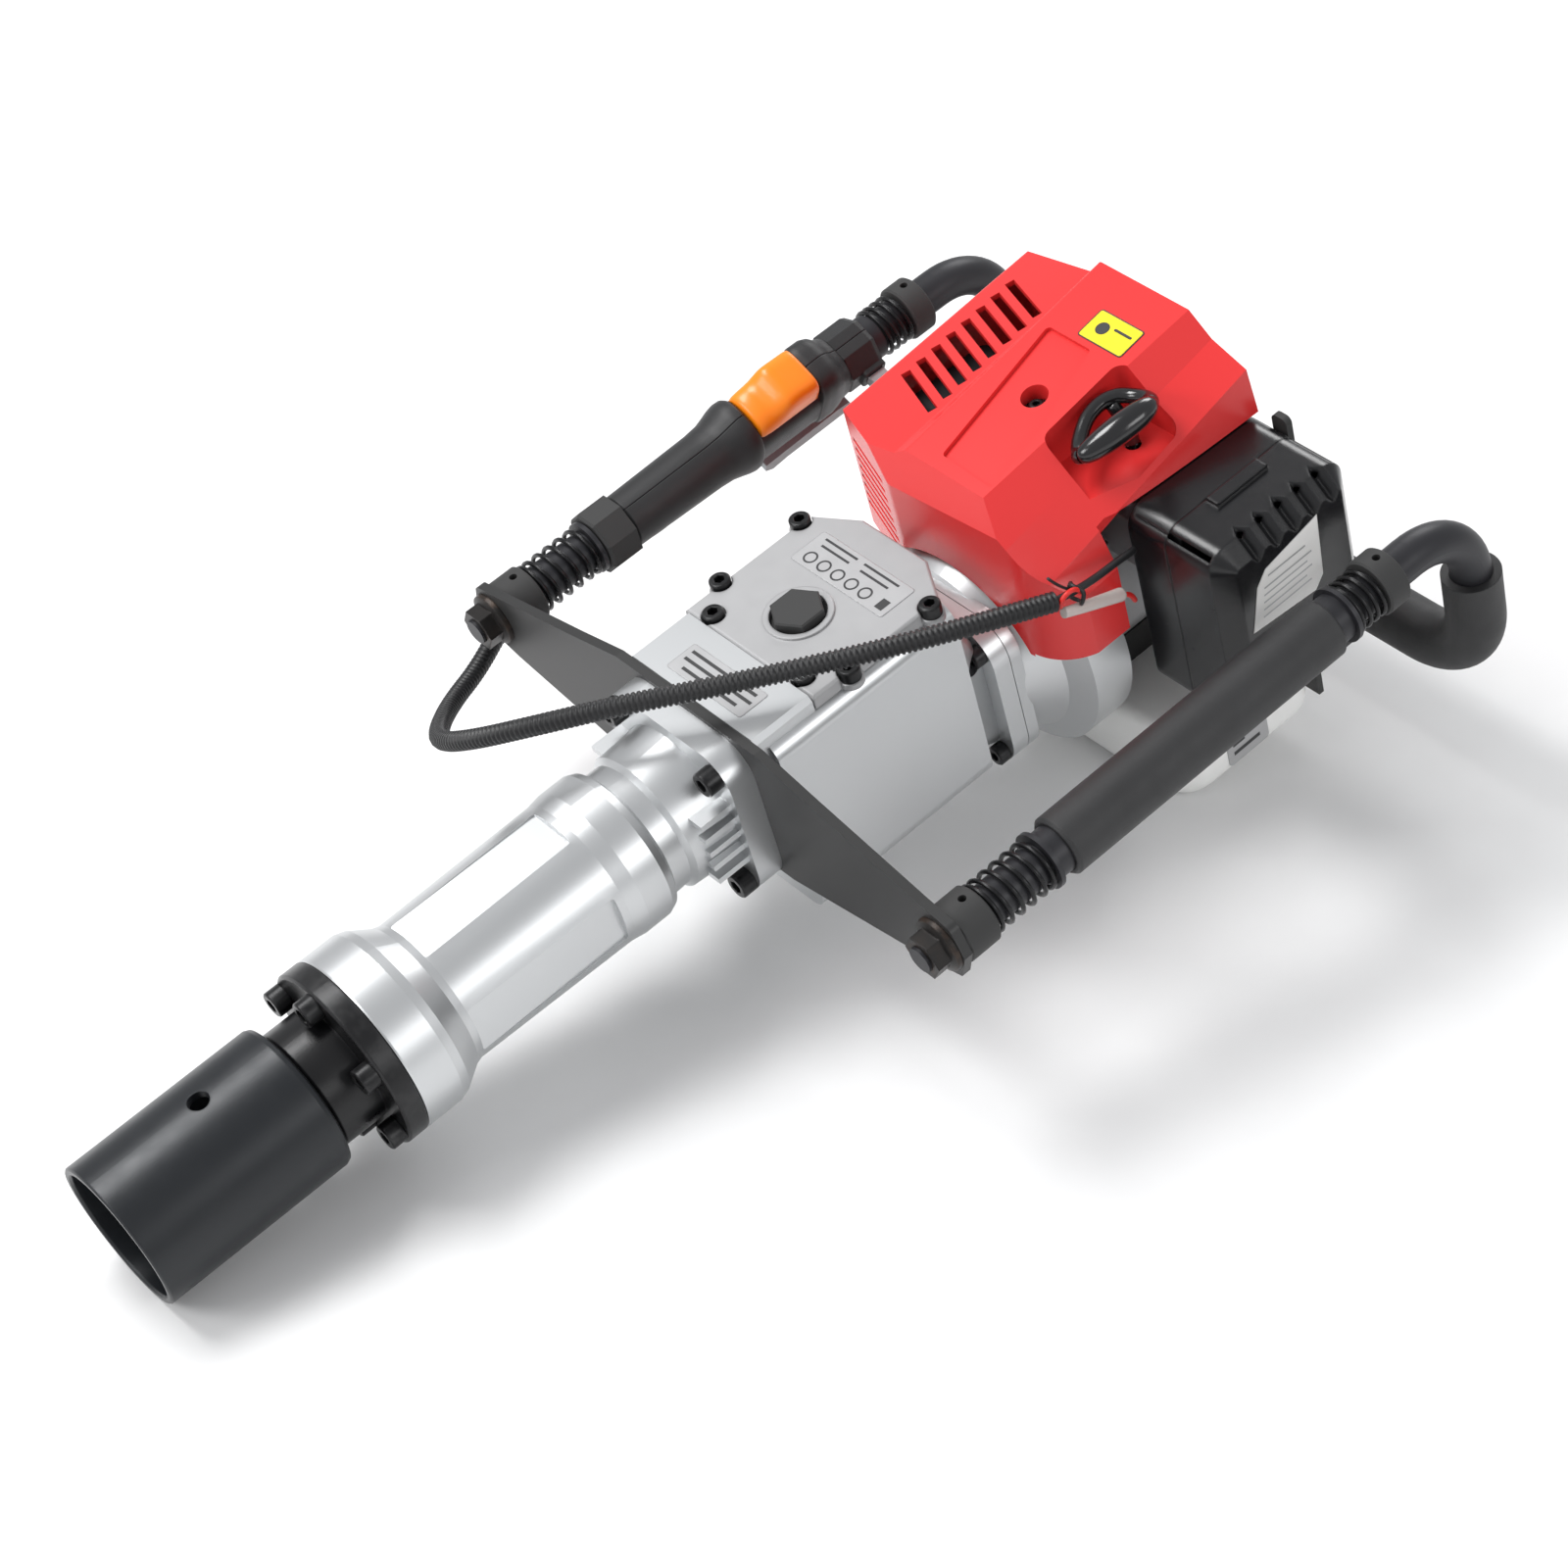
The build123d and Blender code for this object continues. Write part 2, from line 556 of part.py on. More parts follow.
with BuildPart() as bevel_gear:
    spin_up([(10.1, -34), (10.1, -26.3), (44, -26.3), (44, -31), (33, -38), (22, -38), (18, -36)], crank_x)
keep(bevel_gear, "bevel_gear")

with BuildPart() as pinion_shaft:
    spin([(531, 0), (531, 6.5), (541, 10.5), (547, 10.5), (547, 7.98), (607, 7.98), (607, 0)], 0, shaft_z)
keep(pinion_shaft, "pinion_shaft")


def ball_bearing(x0, x1, inner, outer):
    """Inner race, outer race and eight balls between them, on the engine's axis."""
    middle = (inner + outer) / 2
    ball = (outer - inner) * 0.26
    spin([(x0, inner), (x0, middle - ball * 0.6), (x1, middle - ball * 0.6), (x1, inner)], 0, shaft_z)
    spin([(x0, middle + ball * 0.6), (x0, outer), (x1, outer), (x1, middle + ball * 0.6)], 0, shaft_z)
    for index in range(8):
        angle = 2 * math.pi * index / 8
        with Locations(((x0 + x1) / 2, middle * math.cos(angle), shaft_z + middle * math.sin(angle))):
            Sphere(ball)


with BuildPart() as ball_bearings:
    ball_bearing(556, 566, 8.03, 18.2)
    ball_bearing(582, 592, 8.03, 18.2)
    ball_bearing(fan_x1 - 5, fan_x1 + 4, 8.02, 17.5)
    ball_bearing(starter_x - 11, starter_x - 2, 8.02, 17.5)
keep(ball_bearings, "ball_bearings")

with BuildPart() as clutch_drum:
    spin([(607, 0), (607, 38), (632, 38), (632, 35), (610, 35), (610, 0)], 0, shaft_z)
keep(clutch_drum, "clutch_drum")

with BuildPart() as clutch_shoes:
    for start in (20, 200):
        with BuildSketch(across(613, 0, shaft_z)):
            with BuildLine():
                outer = CenterArc((0, 0), 33, start, 140)
                inner = CenterArc((0, 0), 20, start, 140)
                Line(outer @ 0, inner @ 0)
                Line(outer @ 1, inner @ 1)
            make_face()
        extrude(amount=15)
keep(clutch_shoes, "clutch_shoes")

# ---------------------------------------------------------------- engine castings
with BuildPart() as fan_housing:
    with BuildSketch(across(neck_end + 0.5, 0, shaft_z)):
        RectangleRounded(2 * neck_half, 2 * 55, 24)
    extrude(amount=8)
    spin([(neck_end + 6, 0), (neck_end + 6, 60), (bell_x1 - 8, 72), (bell_x1, fan_r), (fan_x1, fan_r),
          (fan_x1, 0)], 0, shaft_z)
    spin([(neck_end, 0), (neck_end, 42), (bell_x1 - 2, 42), (bell_x1 - 2, fan_r - 5), (fan_x1 + 1, fan_r - 5),
          (fan_x1 + 1, 0)], 0, shaft_z, mode=Mode.SUBTRACT)
    for y, z in neck_bolts:
        rod_x(neck_end, 612, 4.2, y, z, mode=Mode.SUBTRACT)
keep(fan_housing, "fan_housing")

lug_angles = (-14, -52, 194, 232)
with BuildPart() as crankcase:
    with BuildSketch(across(fan_x1 - 6, 0, shaft_z)):
        Circle(fan_r - 5.4)
    extrude(amount=6)
    block(fan_x1, starter_x - 0.5, -44, 44, shaft_z - 44, shaft_z + 40)
    with BuildSketch(level(shaft_z + 38, cylinder_x)):
        RectangleRounded(62, 74, 8)
    extrude(amount=7)
    fillet(crankcase.edges().filter_by(Axis.X).group_by(Axis.Z)[0], 14)
    rod_x(fan_x1 - 10, starter_x, 9.0, 0, shaft_z, mode=Mode.SUBTRACT)
    rod_x(686, 726, 36, 0, shaft_z, mode=Mode.SUBTRACT)
    rod_z(shaft_z, shaft_z + 60, 22.3, cylinder_x, mode=Mode.SUBTRACT)
    rod_x(fan_x1 - 7, fan_x1 + 5, 17.6, 0, shaft_z, mode=Mode.SUBTRACT)
    rod_x(starter_x - 12, starter_x, 17.6, 0, shaft_z, mode=Mode.SUBTRACT)
keep(crankcase, "crankcase")

with BuildPart() as engine_shaft:
    rod_x(612, 760, 7.95, 0, shaft_z)
    for x0 in (690, 712):
        rod_x(x0, x0 + 10, 34, 0, shaft_z)
    block(699.9, 712.1, -20, 20, shaft_z - 10, shaft_z + 8.5, mode=Mode.SUBTRACT)
    rod_x(699, 713, 7, 0, shaft_z + 16)
keep(engine_shaft, "engine_shaft")

with BuildPart() as flywheel_fan:
    spin([(641, 8.05), (641, 60), (646, 74), (648, 74), (656, 60), (656, 8.05)], 0, shaft_z)
    for index in range(16):
        angle = 360 / 16 * index
        with BuildSketch(across(640, 0, shaft_z).rotated((angle, 0, 0))):
            with Locations((70, 0)):
                Rectangle(20, 2.4)
        extrude(amount=10)
keep(flywheel_fan, "flywheel_fan")

with BuildPart() as engine_cylinder:
    rod_z(shaft_z + 45.2, 74, 29, cylinder_x)
    block(cylinder_x - 31, cylinder_x + 31, -37, 37, shaft_z + 45.2, shaft_z + 51)
    for index in range(9):
        z = 6 + 8.5 * index
        with BuildSketch(level(z, cylinder_x)):
            RectangleRounded(57, 71, 14)
        extrude(amount=2.2)
    block(cylinder_x - 16, cylinder_x + 16, -52, 0, 8, 36)
    block(cylinder_x - 18, cylinder_x + 18, 0, 50, 8, 40)
    rod_z(shaft_z + 40, 62, 22.05, cylinder_x, mode=Mode.SUBTRACT)
    rod_z(60, 80, 7.1, cylinder_x, mode=Mode.SUBTRACT)
    rod_z(74, 80, 10.5, cylinder_x, mode=Mode.SUBTRACT)
    rod_y(-55, -15, 10, cylinder_x, 22, mode=Mode.SUBTRACT)
    rod_y(15, 55, 11, cylinder_x, 24, mode=Mode.SUBTRACT)
keep(engine_cylinder, "engine_cylinder")

with BuildPart() as engine_piston:
    rod_z(16, 52, 22.0, cylinder_x)
    rod_z(15, 47, 18.5, cylinder_x, mode=Mode.SUBTRACT)
    rod_x(cylinder_x - 20, cylinder_x + 20, 5.0, 0, 32)
keep(engine_piston, "engine_piston")

with BuildPart() as engine_rod:
    with BuildSketch(across(cylinder_x - 4.5, 0, 0)):
        with Locations((0, 32)):
            Circle(9)
        with Locations((0, shaft_z + 40)):
            Circle(9)
        with Locations((0, (32 + shaft_z + 40) / 2)):
            Rectangle(9, 32 - shaft_z - 40)
    extrude(amount=9)
    rod_x(690, 722, 5.06, 0, 32, mode=Mode.SUBTRACT)
keep(engine_rod, "engine_rod")

with BuildPart() as spark_plug:
    spin_up([(0, 60), (6.9, 60), (6.9, 74), (9.5, 74.2), (9.5, 80), (5.5, 82), (5.5, 91), (0, 91)],
            cylinder_x)
keep(spark_plug, "spark_plug")

with BuildPart() as muffler:
    with BuildSketch(Plane(origin=(700.5, 50.3, 27), x_dir=(-1, 0, 0), z_dir=(0, 1, 0))):
        RectangleRounded(71, 64, 12)
    extrude(amount=36)
    fillet(muffler.faces().sort_by(Axis.Y)[-1].edges(), 6)
    rod_y(84, 95, 7, 718, 6)
    rod_y(80, 96, 5, 718, 6, mode=Mode.SUBTRACT)
keep(muffler, "muffler")

# ---------------------------------------------------------------- shroud
shroud_x0 = 614.0
shroud_x1 = 784.0
shroud_low = -18.0
cut_x = 632.0
wall = 3.4
top_front = 84.0
top_rear = 112.0
top_slope = math.degrees(math.atan2(top_rear - top_front, shroud_x1 - shroud_x0))
cut_angle = math.degrees(math.atan2(cut_x - shroud_x0 + 5, 101 - 34))


def shroud_outline(x, top, inset, droop):
    """The shroud's section across the tool at x; its right shoulder falls by droop."""
    slot_in = 80 + (top - top_front) * 0.7 - inset
    slot_out = 72 + (top - top_front) * 0.5 - inset
    with BuildSketch(across(x), mode=Mode.PRIVATE) as section:
        with BuildLine():
            Polyline((106 - inset, shroud_low - 2), (101 - inset, 50), (96 - inset, slot_out), (34, slot_in),
                     (26, top - inset), (-48 + 8 * droop, top - inset),
                     (-64 + inset / 2, top - 14 - 6 * droop - inset),
                     (-90 + 4 * droop + inset, top - 24 - 20 * droop - inset), (-97 + inset, 40 - 14 * droop),
                     (-97 + inset, shroud_low - 2), close=True)
        make_face()
    return section.sketch


def shroud_plan(inset):
    """The shroud's outline from above: a cut front corner on the slot side, a round one on the other."""
    with BuildSketch(level(shroud_low - 10), mode=Mode.PRIVATE) as plan:
        with BuildLine():
            Polyline((shroud_x0 + inset, -99 + inset), (shroud_x0 - 5 + inset, 34 - inset * 0.5),
                     (cut_x + inset * 0.9, 101 - inset), (shroud_x1 - inset, 108 - inset),
                     (shroud_x1 - inset, -99 + inset), close=True)
        make_face()
        fillet(plan.vertices().filter_by(lambda vertex: vertex.X < 660 and vertex.Y > 0), 12)
        fillet(plan.vertices().filter_by(lambda vertex: vertex.X < 660 and vertex.Y < -80), 36 - inset)
    extrude(plan.sketch, amount=200, mode=Mode.INTERSECT)


def shroud_brow(inset):
    """Trim the top front edge back in a soft brow, seen from the side."""
    with BuildSketch(Plane(origin=(0, 0, 0), x_dir=(1, 0, 0), z_dir=(0, -1, 0)), mode=Mode.PRIVATE) as brow:
        with BuildLine():
            Polyline((shroud_x0 - 14, -60), (shroud_x0 - 8 + inset, 58), (shroud_x0 + 8 + inset, 86 - inset),
                     (shroud_x1 + 10, 130), (shroud_x1 + 10, -60), close=True)
        make_face()
        fillet(brow.vertices().filter_by(lambda vertex: 0 < vertex.Z < 100), 14)
    extrude(brow.sketch, amount=150, both=True, mode=Mode.INTERSECT)


with BuildPart() as shroud_form:
    loft([shroud_outline(shroud_x0 - 8, top_front - 1.3, 0, 1), shroud_outline(shroud_x1, top_rear, 0, 0)])
    fillet(shroud_form.edges().filter_by(lambda edge: abs((edge % 0.5).X) > 0.9 and edge.center().Y > 10), 4)
    shroud_plan(0)
    shroud_brow(0)

with BuildPart() as shroud_hollow:
    loft([shroud_outline(shroud_x0 - 10, top_front - 1.3, wall, 1),
          shroud_outline(shroud_x1 - wall, top_rear - 0.5, wall, 0)])
    shroud_plan(wall)
    shroud_brow(wall)

with BuildPart() as pocket_cup:
    add(shroud_form.part)
    with BuildSketch(level(64, 702, -62)):
        RectangleRounded(71, 51, 10)
    extrude(amount=80, mode=Mode.INTERSECT)

with BuildPart() as screw_boss:
    add(shroud_form.part)
    with BuildSketch(level(84, 692, -11)):
        Circle(11)
    extrude(amount=60, mode=Mode.INTERSECT)

top_plane = Plane(origin=(shroud_x0, 0, top_front), x_dir=(math.cos(math.radians(top_slope)), 0,
                  math.sin(math.radians(top_slope))), z_dir=(-math.sin(math.radians(top_slope)), 0,
                  math.cos(math.radians(top_slope))))
with BuildPart() as shroud:
    add(shroud_form.part)
    add(shroud_hollow.part, mode=Mode.SUBTRACT)
    add(pocket_cup.part)
    add(screw_boss.part)
    block(shroud_x0 - 1, shroud_x1 + 2, -200, 200, -40, shroud_low, mode=Mode.SUBTRACT)
    block(662, shroud_x1 + 4, -110, -85, -30, 58, mode=Mode.SUBTRACT)
    spin([(shroud_x0 - 20, 0), (shroud_x0 - 20, 67), (bell_x1 - 8, 73), (bell_x1 - 1, fan_r + 1),
          (fan_x1 + 1, fan_r + 1), (fan_x1 + 1, 0)], 0, shaft_z, mode=Mode.SUBTRACT)
    rod_x(shroud_x1 - 8, shroud_x1 + 4, starter_r + 1, 0, shaft_z, mode=Mode.SUBTRACT)
    with BuildSketch(level(66.4, 702, -62)):
        RectangleRounded(66, 46, 8)
    extrude(amount=60, mode=Mode.SUBTRACT)
    with BuildSketch(top_plane.offset(6)):
        with BuildLine():
            Polyline((17, 4), (120, 18), (120, -18), (62, -34), (15, -41), close=True)
        make_face()
        fillet(vertices(), 3)
    extrude(amount=-8.6, mode=Mode.SUBTRACT)
    rod_z(83.5, 140, 8.5, 692, -11, mode=Mode.SUBTRACT)
    rod_z(70, 140, 2.6, 692, -11, mode=Mode.SUBTRACT)
    rod_z(60, 70, 5, 716, -62, mode=Mode.SUBTRACT)
    for index in range(8):
        with Locations(Location((663 + 12.4 * index, 61, 90), (0, 0, -20))):
            Box(6.2, 46, 70, mode=Mode.SUBTRACT)
    for index in range(8):
        slot_centre = ((shroud_x0 - 5 + cut_x) / 2, 67, 2 + 7.6 * index)
        with Locations(Location(slot_centre, (0, 0, -cut_angle))):
            Box(26, 52 - index, 3.4, mode=Mode.SUBTRACT)
keep(shroud, "shroud")

shroud_screw_solid = socket_screw(4.5, 5, 4, 2.5, 7)
with BuildPart() as shroud_screw:
    add(shroud_screw_solid.moved(Location((692, -11, 83.7))))
keep(shroud_screw, "shroud_screw")

# ---------------------------------------------------------------- recoil starter
with BuildPart() as starter_housing:
    spin([(starter_x, 0), (starter_x, starter_r), (starter_x + 40, starter_r),
          (starter_x + 52, starter_r - 12), (starter_x + 52, 0)], 0, shaft_z)
    spin([(starter_x - 1, 0), (starter_x - 1, starter_r - 3), (starter_x + 38, starter_r - 3),
          (starter_x + 49, starter_r - 14), (starter_x + 49, 0)], 0, shaft_z, mode=Mode.SUBTRACT)
    for index in range(12):
        with BuildSketch(across(starter_x + 40, 0, shaft_z).rotated((30 * index, 0, 0))):
            with Locations((40, 0)):
                SlotOverall(26, 5)
        extrude(amount=20, mode=Mode.SUBTRACT)
    rod_x(starter_x + 30, starter_x + 50, 5.5, 0, shaft_z)
    block(starter_x - 2, starter_x + 60, -52, -24, shaft_z + 50, shaft_z + 90, mode=Mode.SUBTRACT)
keep(starter_housing, "starter_housing")

with BuildPart() as starter_pulley:
    spin([(762, 5.6), (762, 34), (763.5, 34), (763.5, 30), (770, 30), (770, 34), (771.5, 34), (771.5, 5.6)],
         0, shaft_z)
keep(starter_pulley, "starter_pulley")

with BuildPart() as starter_handle:
    with BuildSketch(Plane(origin=(702, -60, 80), x_dir=(1, 0, 0), z_dir=(0, -1, 0))):
        with BuildLine():
            Polyline((-26, 3), (-24, 12), (-4, 26), (8, 26), (27, 14), (28, 6), (22, 3), close=True)
        make_face()
    extrude(amount=9, both=True)
    fillet(starter_handle.edges().filter_by(Axis.Y), 2.5)
keep(starter_handle, "starter_handle")

# ---------------------------------------------------------------- intake side
with BuildPart() as carburettor:
    block(cylinder_x - 20, cylinder_x + 20, -84, -60.2, 4, 42)
    block(cylinder_x - 17, cylinder_x + 17, -60.2, -52.3, 6, 38)
    rod_y(-90, -84, 12, cylinder_x, 22)
    rod_y(-91, -50, 8, cylinder_x, 22, mode=Mode.SUBTRACT)
    rod_z(42, 50, 5, cylinder_x - 8, -72)
    rod_x(cylinder_x + 20, cylinder_x + 26, 6, -72, 14)
keep(carburettor, "carburettor")

with BuildPart() as throttle_arm:
    with BuildSketch(level(50.3, cylinder_x - 8, -72)):
        SlotCenterToCenter(18, 8, rotation=180)
    extrude(amount=2.5)
keep(throttle_arm, "throttle_arm")

filter_x0 = 680.0
filter_x1 = 786.0
filter_z0 = -84.0
filter_z1 = 57.0
with BuildPart() as air_filter_base:
    filter_centre = ((filter_x0 + filter_x1) / 2, -90, (filter_z0 + filter_z1) / 2)
    with BuildSketch(Plane(origin=filter_centre, x_dir=(1, 0, 0), z_dir=(0, -1, 0))):
        RectangleRounded(filter_x1 - filter_x0, filter_z1 - filter_z0, 14)
    extrude(amount=30)
    block(filter_x0 + 4, filter_x1 - 4, -130, -94, filter_z0 + 4, filter_z1 - 4, mode=Mode.SUBTRACT)
    rod_y(-96, -86, 9, cylinder_x, 22, mode=Mode.SUBTRACT)
    rod_x(filter_x1 - 5, filter_x1 + 1, 3.06, -104, 18, mode=Mode.SUBTRACT)
    block(filter_x1 - 50, filter_x1 + 5, -95, -80, filter_z0 - 5, 0, mode=Mode.SUBTRACT)
keep(air_filter_base, "air_filter_base")

with BuildPart() as filter_element:
    block(filter_x0 + 8, filter_x1 - 8, -126, -106, filter_z0 + 8, filter_z1 - 8)
keep(filter_element, "filter_element")

with BuildPart() as air_filter_cover:
    with BuildSketch(Plane(origin=((filter_x0 + filter_x1) / 2, -120.4, (filter_z0 + filter_z1) / 2),
                           x_dir=(1, 0, 0), z_dir=(0, -1, 0))):
        RectangleRounded(filter_x1 - filter_x0, filter_z1 - filter_z0, 14)
    extrude(amount=46)
    chamfer(air_filter_cover.faces().sort_by(Axis.Y)[0].edges(), 11)
    block(filter_x0 + 3, filter_x1 - 3, -154, -119, filter_z0 + 3, filter_z1 - 3, mode=Mode.SUBTRACT)
    for index in range(5):
        louvre_x = filter_x0 + 26 + 15 * index
        with Locations(Location((louvre_x + 3, -160, filter_z1 - 4), (45, 0, 0))):
            Box(7, 26, 9, rotation=(0, 45, 0), mode=Mode.SUBTRACT)
    block(filter_x0 + 34, filter_x0 + 74, -131, -122, filter_z1 - 1, filter_z1 + 3)
keep(air_filter_cover, "air_filter_cover")

with BuildPart() as choke_lever:
    rod_x(filter_x1 + 0.4, filter_x1 + 5, 7, -104, 18)
    with BuildSketch(across(filter_x1 + 0.4, -104, 18)):
        with Locations((-4, 20)):
            RectangleRounded(12, 42, 4)
    extrude(amount=4.5)
    rod_x(filter_x1 - 3, filter_x1 + 1, 3, -104, 18)
keep(choke_lever, "choke_lever")

# ---------------------------------------------------------------- fuel tank
with BuildPart() as fuel_tank:
    with BuildSketch(level(tank_low, (tank_x0 + tank_x1) / 2)):
        RectangleRounded(tank_x1 - tank_x0, 2 * tank_half, 24)
    extrude(amount=tank_top - tank_low)
    fillet(fuel_tank.faces().sort_by(Axis.Z)[0].edges(), 16)
    fillet(fuel_tank.faces().sort_by(Axis.Z)[-1].edges(), 8)
    rod_z(tank_top - 1, tank_top + 8, 15, tank_x0 + 30, 76)
    with BuildSketch(level(tank_low + 2.5, (tank_x0 + tank_x1) / 2)):
        RectangleRounded(tank_x1 - tank_x0 - 36, 2 * tank_half - 36, 14)
    extrude(amount=tank_top - tank_low - 5, mode=Mode.SUBTRACT)
    rod_z(tank_top - 10, tank_top + 9, 11, tank_x0 + 30, 76, mode=Mode.SUBTRACT)
keep(fuel_tank, "fuel_tank")

with BuildPart() as tank_cap:
    rod_z(tank_top + 8.4, tank_top + 22, 20, tank_x0 + 30, 76)
    chamfer(tank_cap.edges().group_by(Axis.Z)[-1], 2)
    for index in range(12):
        angle = 2 * math.pi * index / 12
        groove_x = tank_x0 + 30 + 20.6 * math.cos(angle)
        rod_z(tank_top + 8, tank_top + 23, 2.2, groove_x, 76 + 20.6 * math.sin(angle), mode=Mode.SUBTRACT)
    rod_z(tank_top + 2, tank_top + 8.5, 10.9, tank_x0 + 30, 76)
keep(tank_cap, "tank_cap")

with BuildPart() as tank_bracket:
    block(690, 734, -38, 38, tank_top + 0.2, shaft_z - 44.2)
    block(700, 724, -20, 20, tank_top + 5, shaft_z - 50, mode=Mode.SUBTRACT)
    block(tank_x1 + 0.4, tank_x1 + 4.4, -104, 104, -176, -150)
    block(tank_x1 + 0.4, tank_x1 + 4.4, -20, 20, -151, shaft_z - 58)
    block(starter_x + 52.3, tank_x1 + 4.4, -20, 20, shaft_z - 60, shaft_z - 40)
keep(tank_bracket, "tank_bracket")

# ---------------------------------------------------------------- throttle conduit
conduit_r = 6.0
conduit_points = [(540, 212, -22), (505, 221, -22), (466, 225, -21), (432, 222, -25), (400, 206, -27),
                  (368, 186, -16), (343, 158, 2), (326, 124, 26), (330, 86, 50), (352, 48, 68), (388, 10, 79),
                  (430, -26, 82), (476, -58, 81), (524, -84, 76), (568, -100, 67), (606, -110, 57)]
corner_radii = []
for index in range(1, len(conduit_points) - 1):
    before = Vector(*conduit_points[index]) - Vector(*conduit_points[index - 1])
    after = Vector(*conduit_points[index + 1]) - Vector(*conduit_points[index])
    half_turn = math.radians(before.get_angle(after) / 2)
    corner_radii.append(0.45 * min(before.length, after.length) / math.tan(half_turn))
print("conduit corner radii", [round(radius, 1) for radius in corner_radii])

with BuildPart() as throttle_conduit:
    with BuildLine() as conduit_route:
        FilletPolyline(*conduit_points, radius=corner_radii)
    with BuildSketch(Plane(origin=conduit_points[0], z_dir=conduit_route.wire() % 0)):
        Circle(conduit_r)
    sweep(path=conduit_route.wire())
keep(throttle_conduit, "throttle_conduit")
conduit_length = conduit_route.wire().length
print("conduit length", round(conduit_length, 1), "volume ratio",
      round(throttle_conduit.part.volume / (math.pi * conduit_r ** 2 * conduit_length), 4))

# ---------------------------------------------------------------- lay the tool down and write it
tilted = [piece.moved(Location((0, 0, 0), (0, -rest_tilt, 0))) for piece in pieces.values()]
whole = Compound(children=tilted).bounding_box()
shift = Vector(-(whole.min.X + whole.max.X) / 2, -(whole.min.Y + whole.max.Y) / 2, -whole.min.Z)
resting = Location(tuple(shift), (0, -rest_tilt, 0))
print("shift", shift, "size", whole.size, "pieces", len(pieces))
for label, piece in pieces.items():
    laid = piece.moved(resting)
    laid.label = label
    export_step(laid, f"parts/{label}.step")
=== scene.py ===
import json
import math

import bmesh
import bpy
from mathutils import Matrix, Vector


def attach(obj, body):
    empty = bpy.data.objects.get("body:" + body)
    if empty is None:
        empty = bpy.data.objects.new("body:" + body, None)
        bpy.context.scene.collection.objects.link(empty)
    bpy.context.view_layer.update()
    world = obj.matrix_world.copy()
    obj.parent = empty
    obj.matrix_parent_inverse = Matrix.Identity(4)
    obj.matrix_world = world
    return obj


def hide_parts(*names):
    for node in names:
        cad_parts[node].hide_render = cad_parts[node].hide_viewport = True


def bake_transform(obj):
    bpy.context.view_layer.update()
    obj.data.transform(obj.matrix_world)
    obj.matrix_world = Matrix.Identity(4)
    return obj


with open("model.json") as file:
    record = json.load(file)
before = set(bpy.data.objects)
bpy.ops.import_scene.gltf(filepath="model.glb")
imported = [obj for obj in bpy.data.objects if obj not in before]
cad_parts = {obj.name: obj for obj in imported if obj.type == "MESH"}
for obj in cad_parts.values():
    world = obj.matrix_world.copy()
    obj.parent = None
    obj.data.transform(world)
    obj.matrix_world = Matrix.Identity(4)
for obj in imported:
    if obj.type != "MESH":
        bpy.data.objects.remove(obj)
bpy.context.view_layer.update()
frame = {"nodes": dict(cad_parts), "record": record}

# ---------------------------------------------------------------- the tool's own frame, in millimetres
# X runs back along the hammer from the sleeve's mouth, Y to the throttle grip, Z up out of the gear cover.
socket_middle = 0.046
socket = [m for m in frame["record"]["mounts"] if m["name"] == "post_socket"][0]
tool_x = -Vector(socket["axis"]).normalized()
tool_y = Vector((0, 1, 0))
tool_z = tool_x.cross(tool_y).normalized()
tool_origin = Vector(socket["pos_m"]) - tool_x * socket_middle
handle_y = 202
handle_z = 3
TOOL = Matrix.Translation(tool_origin) @ Matrix((
    (tool_x.x, tool_y.x, tool_z.x, 0), (tool_x.y, tool_y.y, tool_z.y, 0),
    (tool_x.z, tool_y.z, tool_z.z, 0), (0, 0, 0, 1))) @ Matrix.Diagonal((0.001, 0.001, 0.001, 1))


def at(x, y, z):
    """A point of the shared frame, in metres, from tool millimetres."""
    return TOOL @ Vector((x, y, z))


# ---------------------------------------------------------------- camera
def place_camera():
    """A camera that looks down on the tool from its nose, turned so that the tool lies across the frame."""
    azimuth, elevation, roll = math.radians(-27.91), math.radians(45.6), math.radians(-17.71)
    target = Vector((450.8, -29.6, -14.1))
    distance = 2185.5
    view = Vector((-math.sin(azimuth) * math.cos(elevation), math.cos(azimuth) * math.cos(elevation),
                   -math.sin(elevation)))
    right0 = Vector((math.cos(azimuth), math.sin(azimuth), 0))
    up0 = right0.cross(view)
    right = right0 * math.cos(roll) + up0 * math.sin(roll)
    up = up0 * math.cos(roll) - right0 * math.sin(roll)
    centre = target - view * distance
    turn = (TOOL.to_3x3() @ Matrix((right, up, -view)).transposed()) * 1000
    camera = bpy.data.objects.new("camera", bpy.data.cameras.new("camera"))
    camera.matrix_world = Matrix.Translation(at(*centre)) @ turn.to_4x4()
    camera.data.sensor_width = 36
    camera.data.lens = 88.0425
    camera.data.clip_end = 30
    bpy.context.collection.objects.link(camera)
    bpy.context.scene.camera = camera


place_camera()

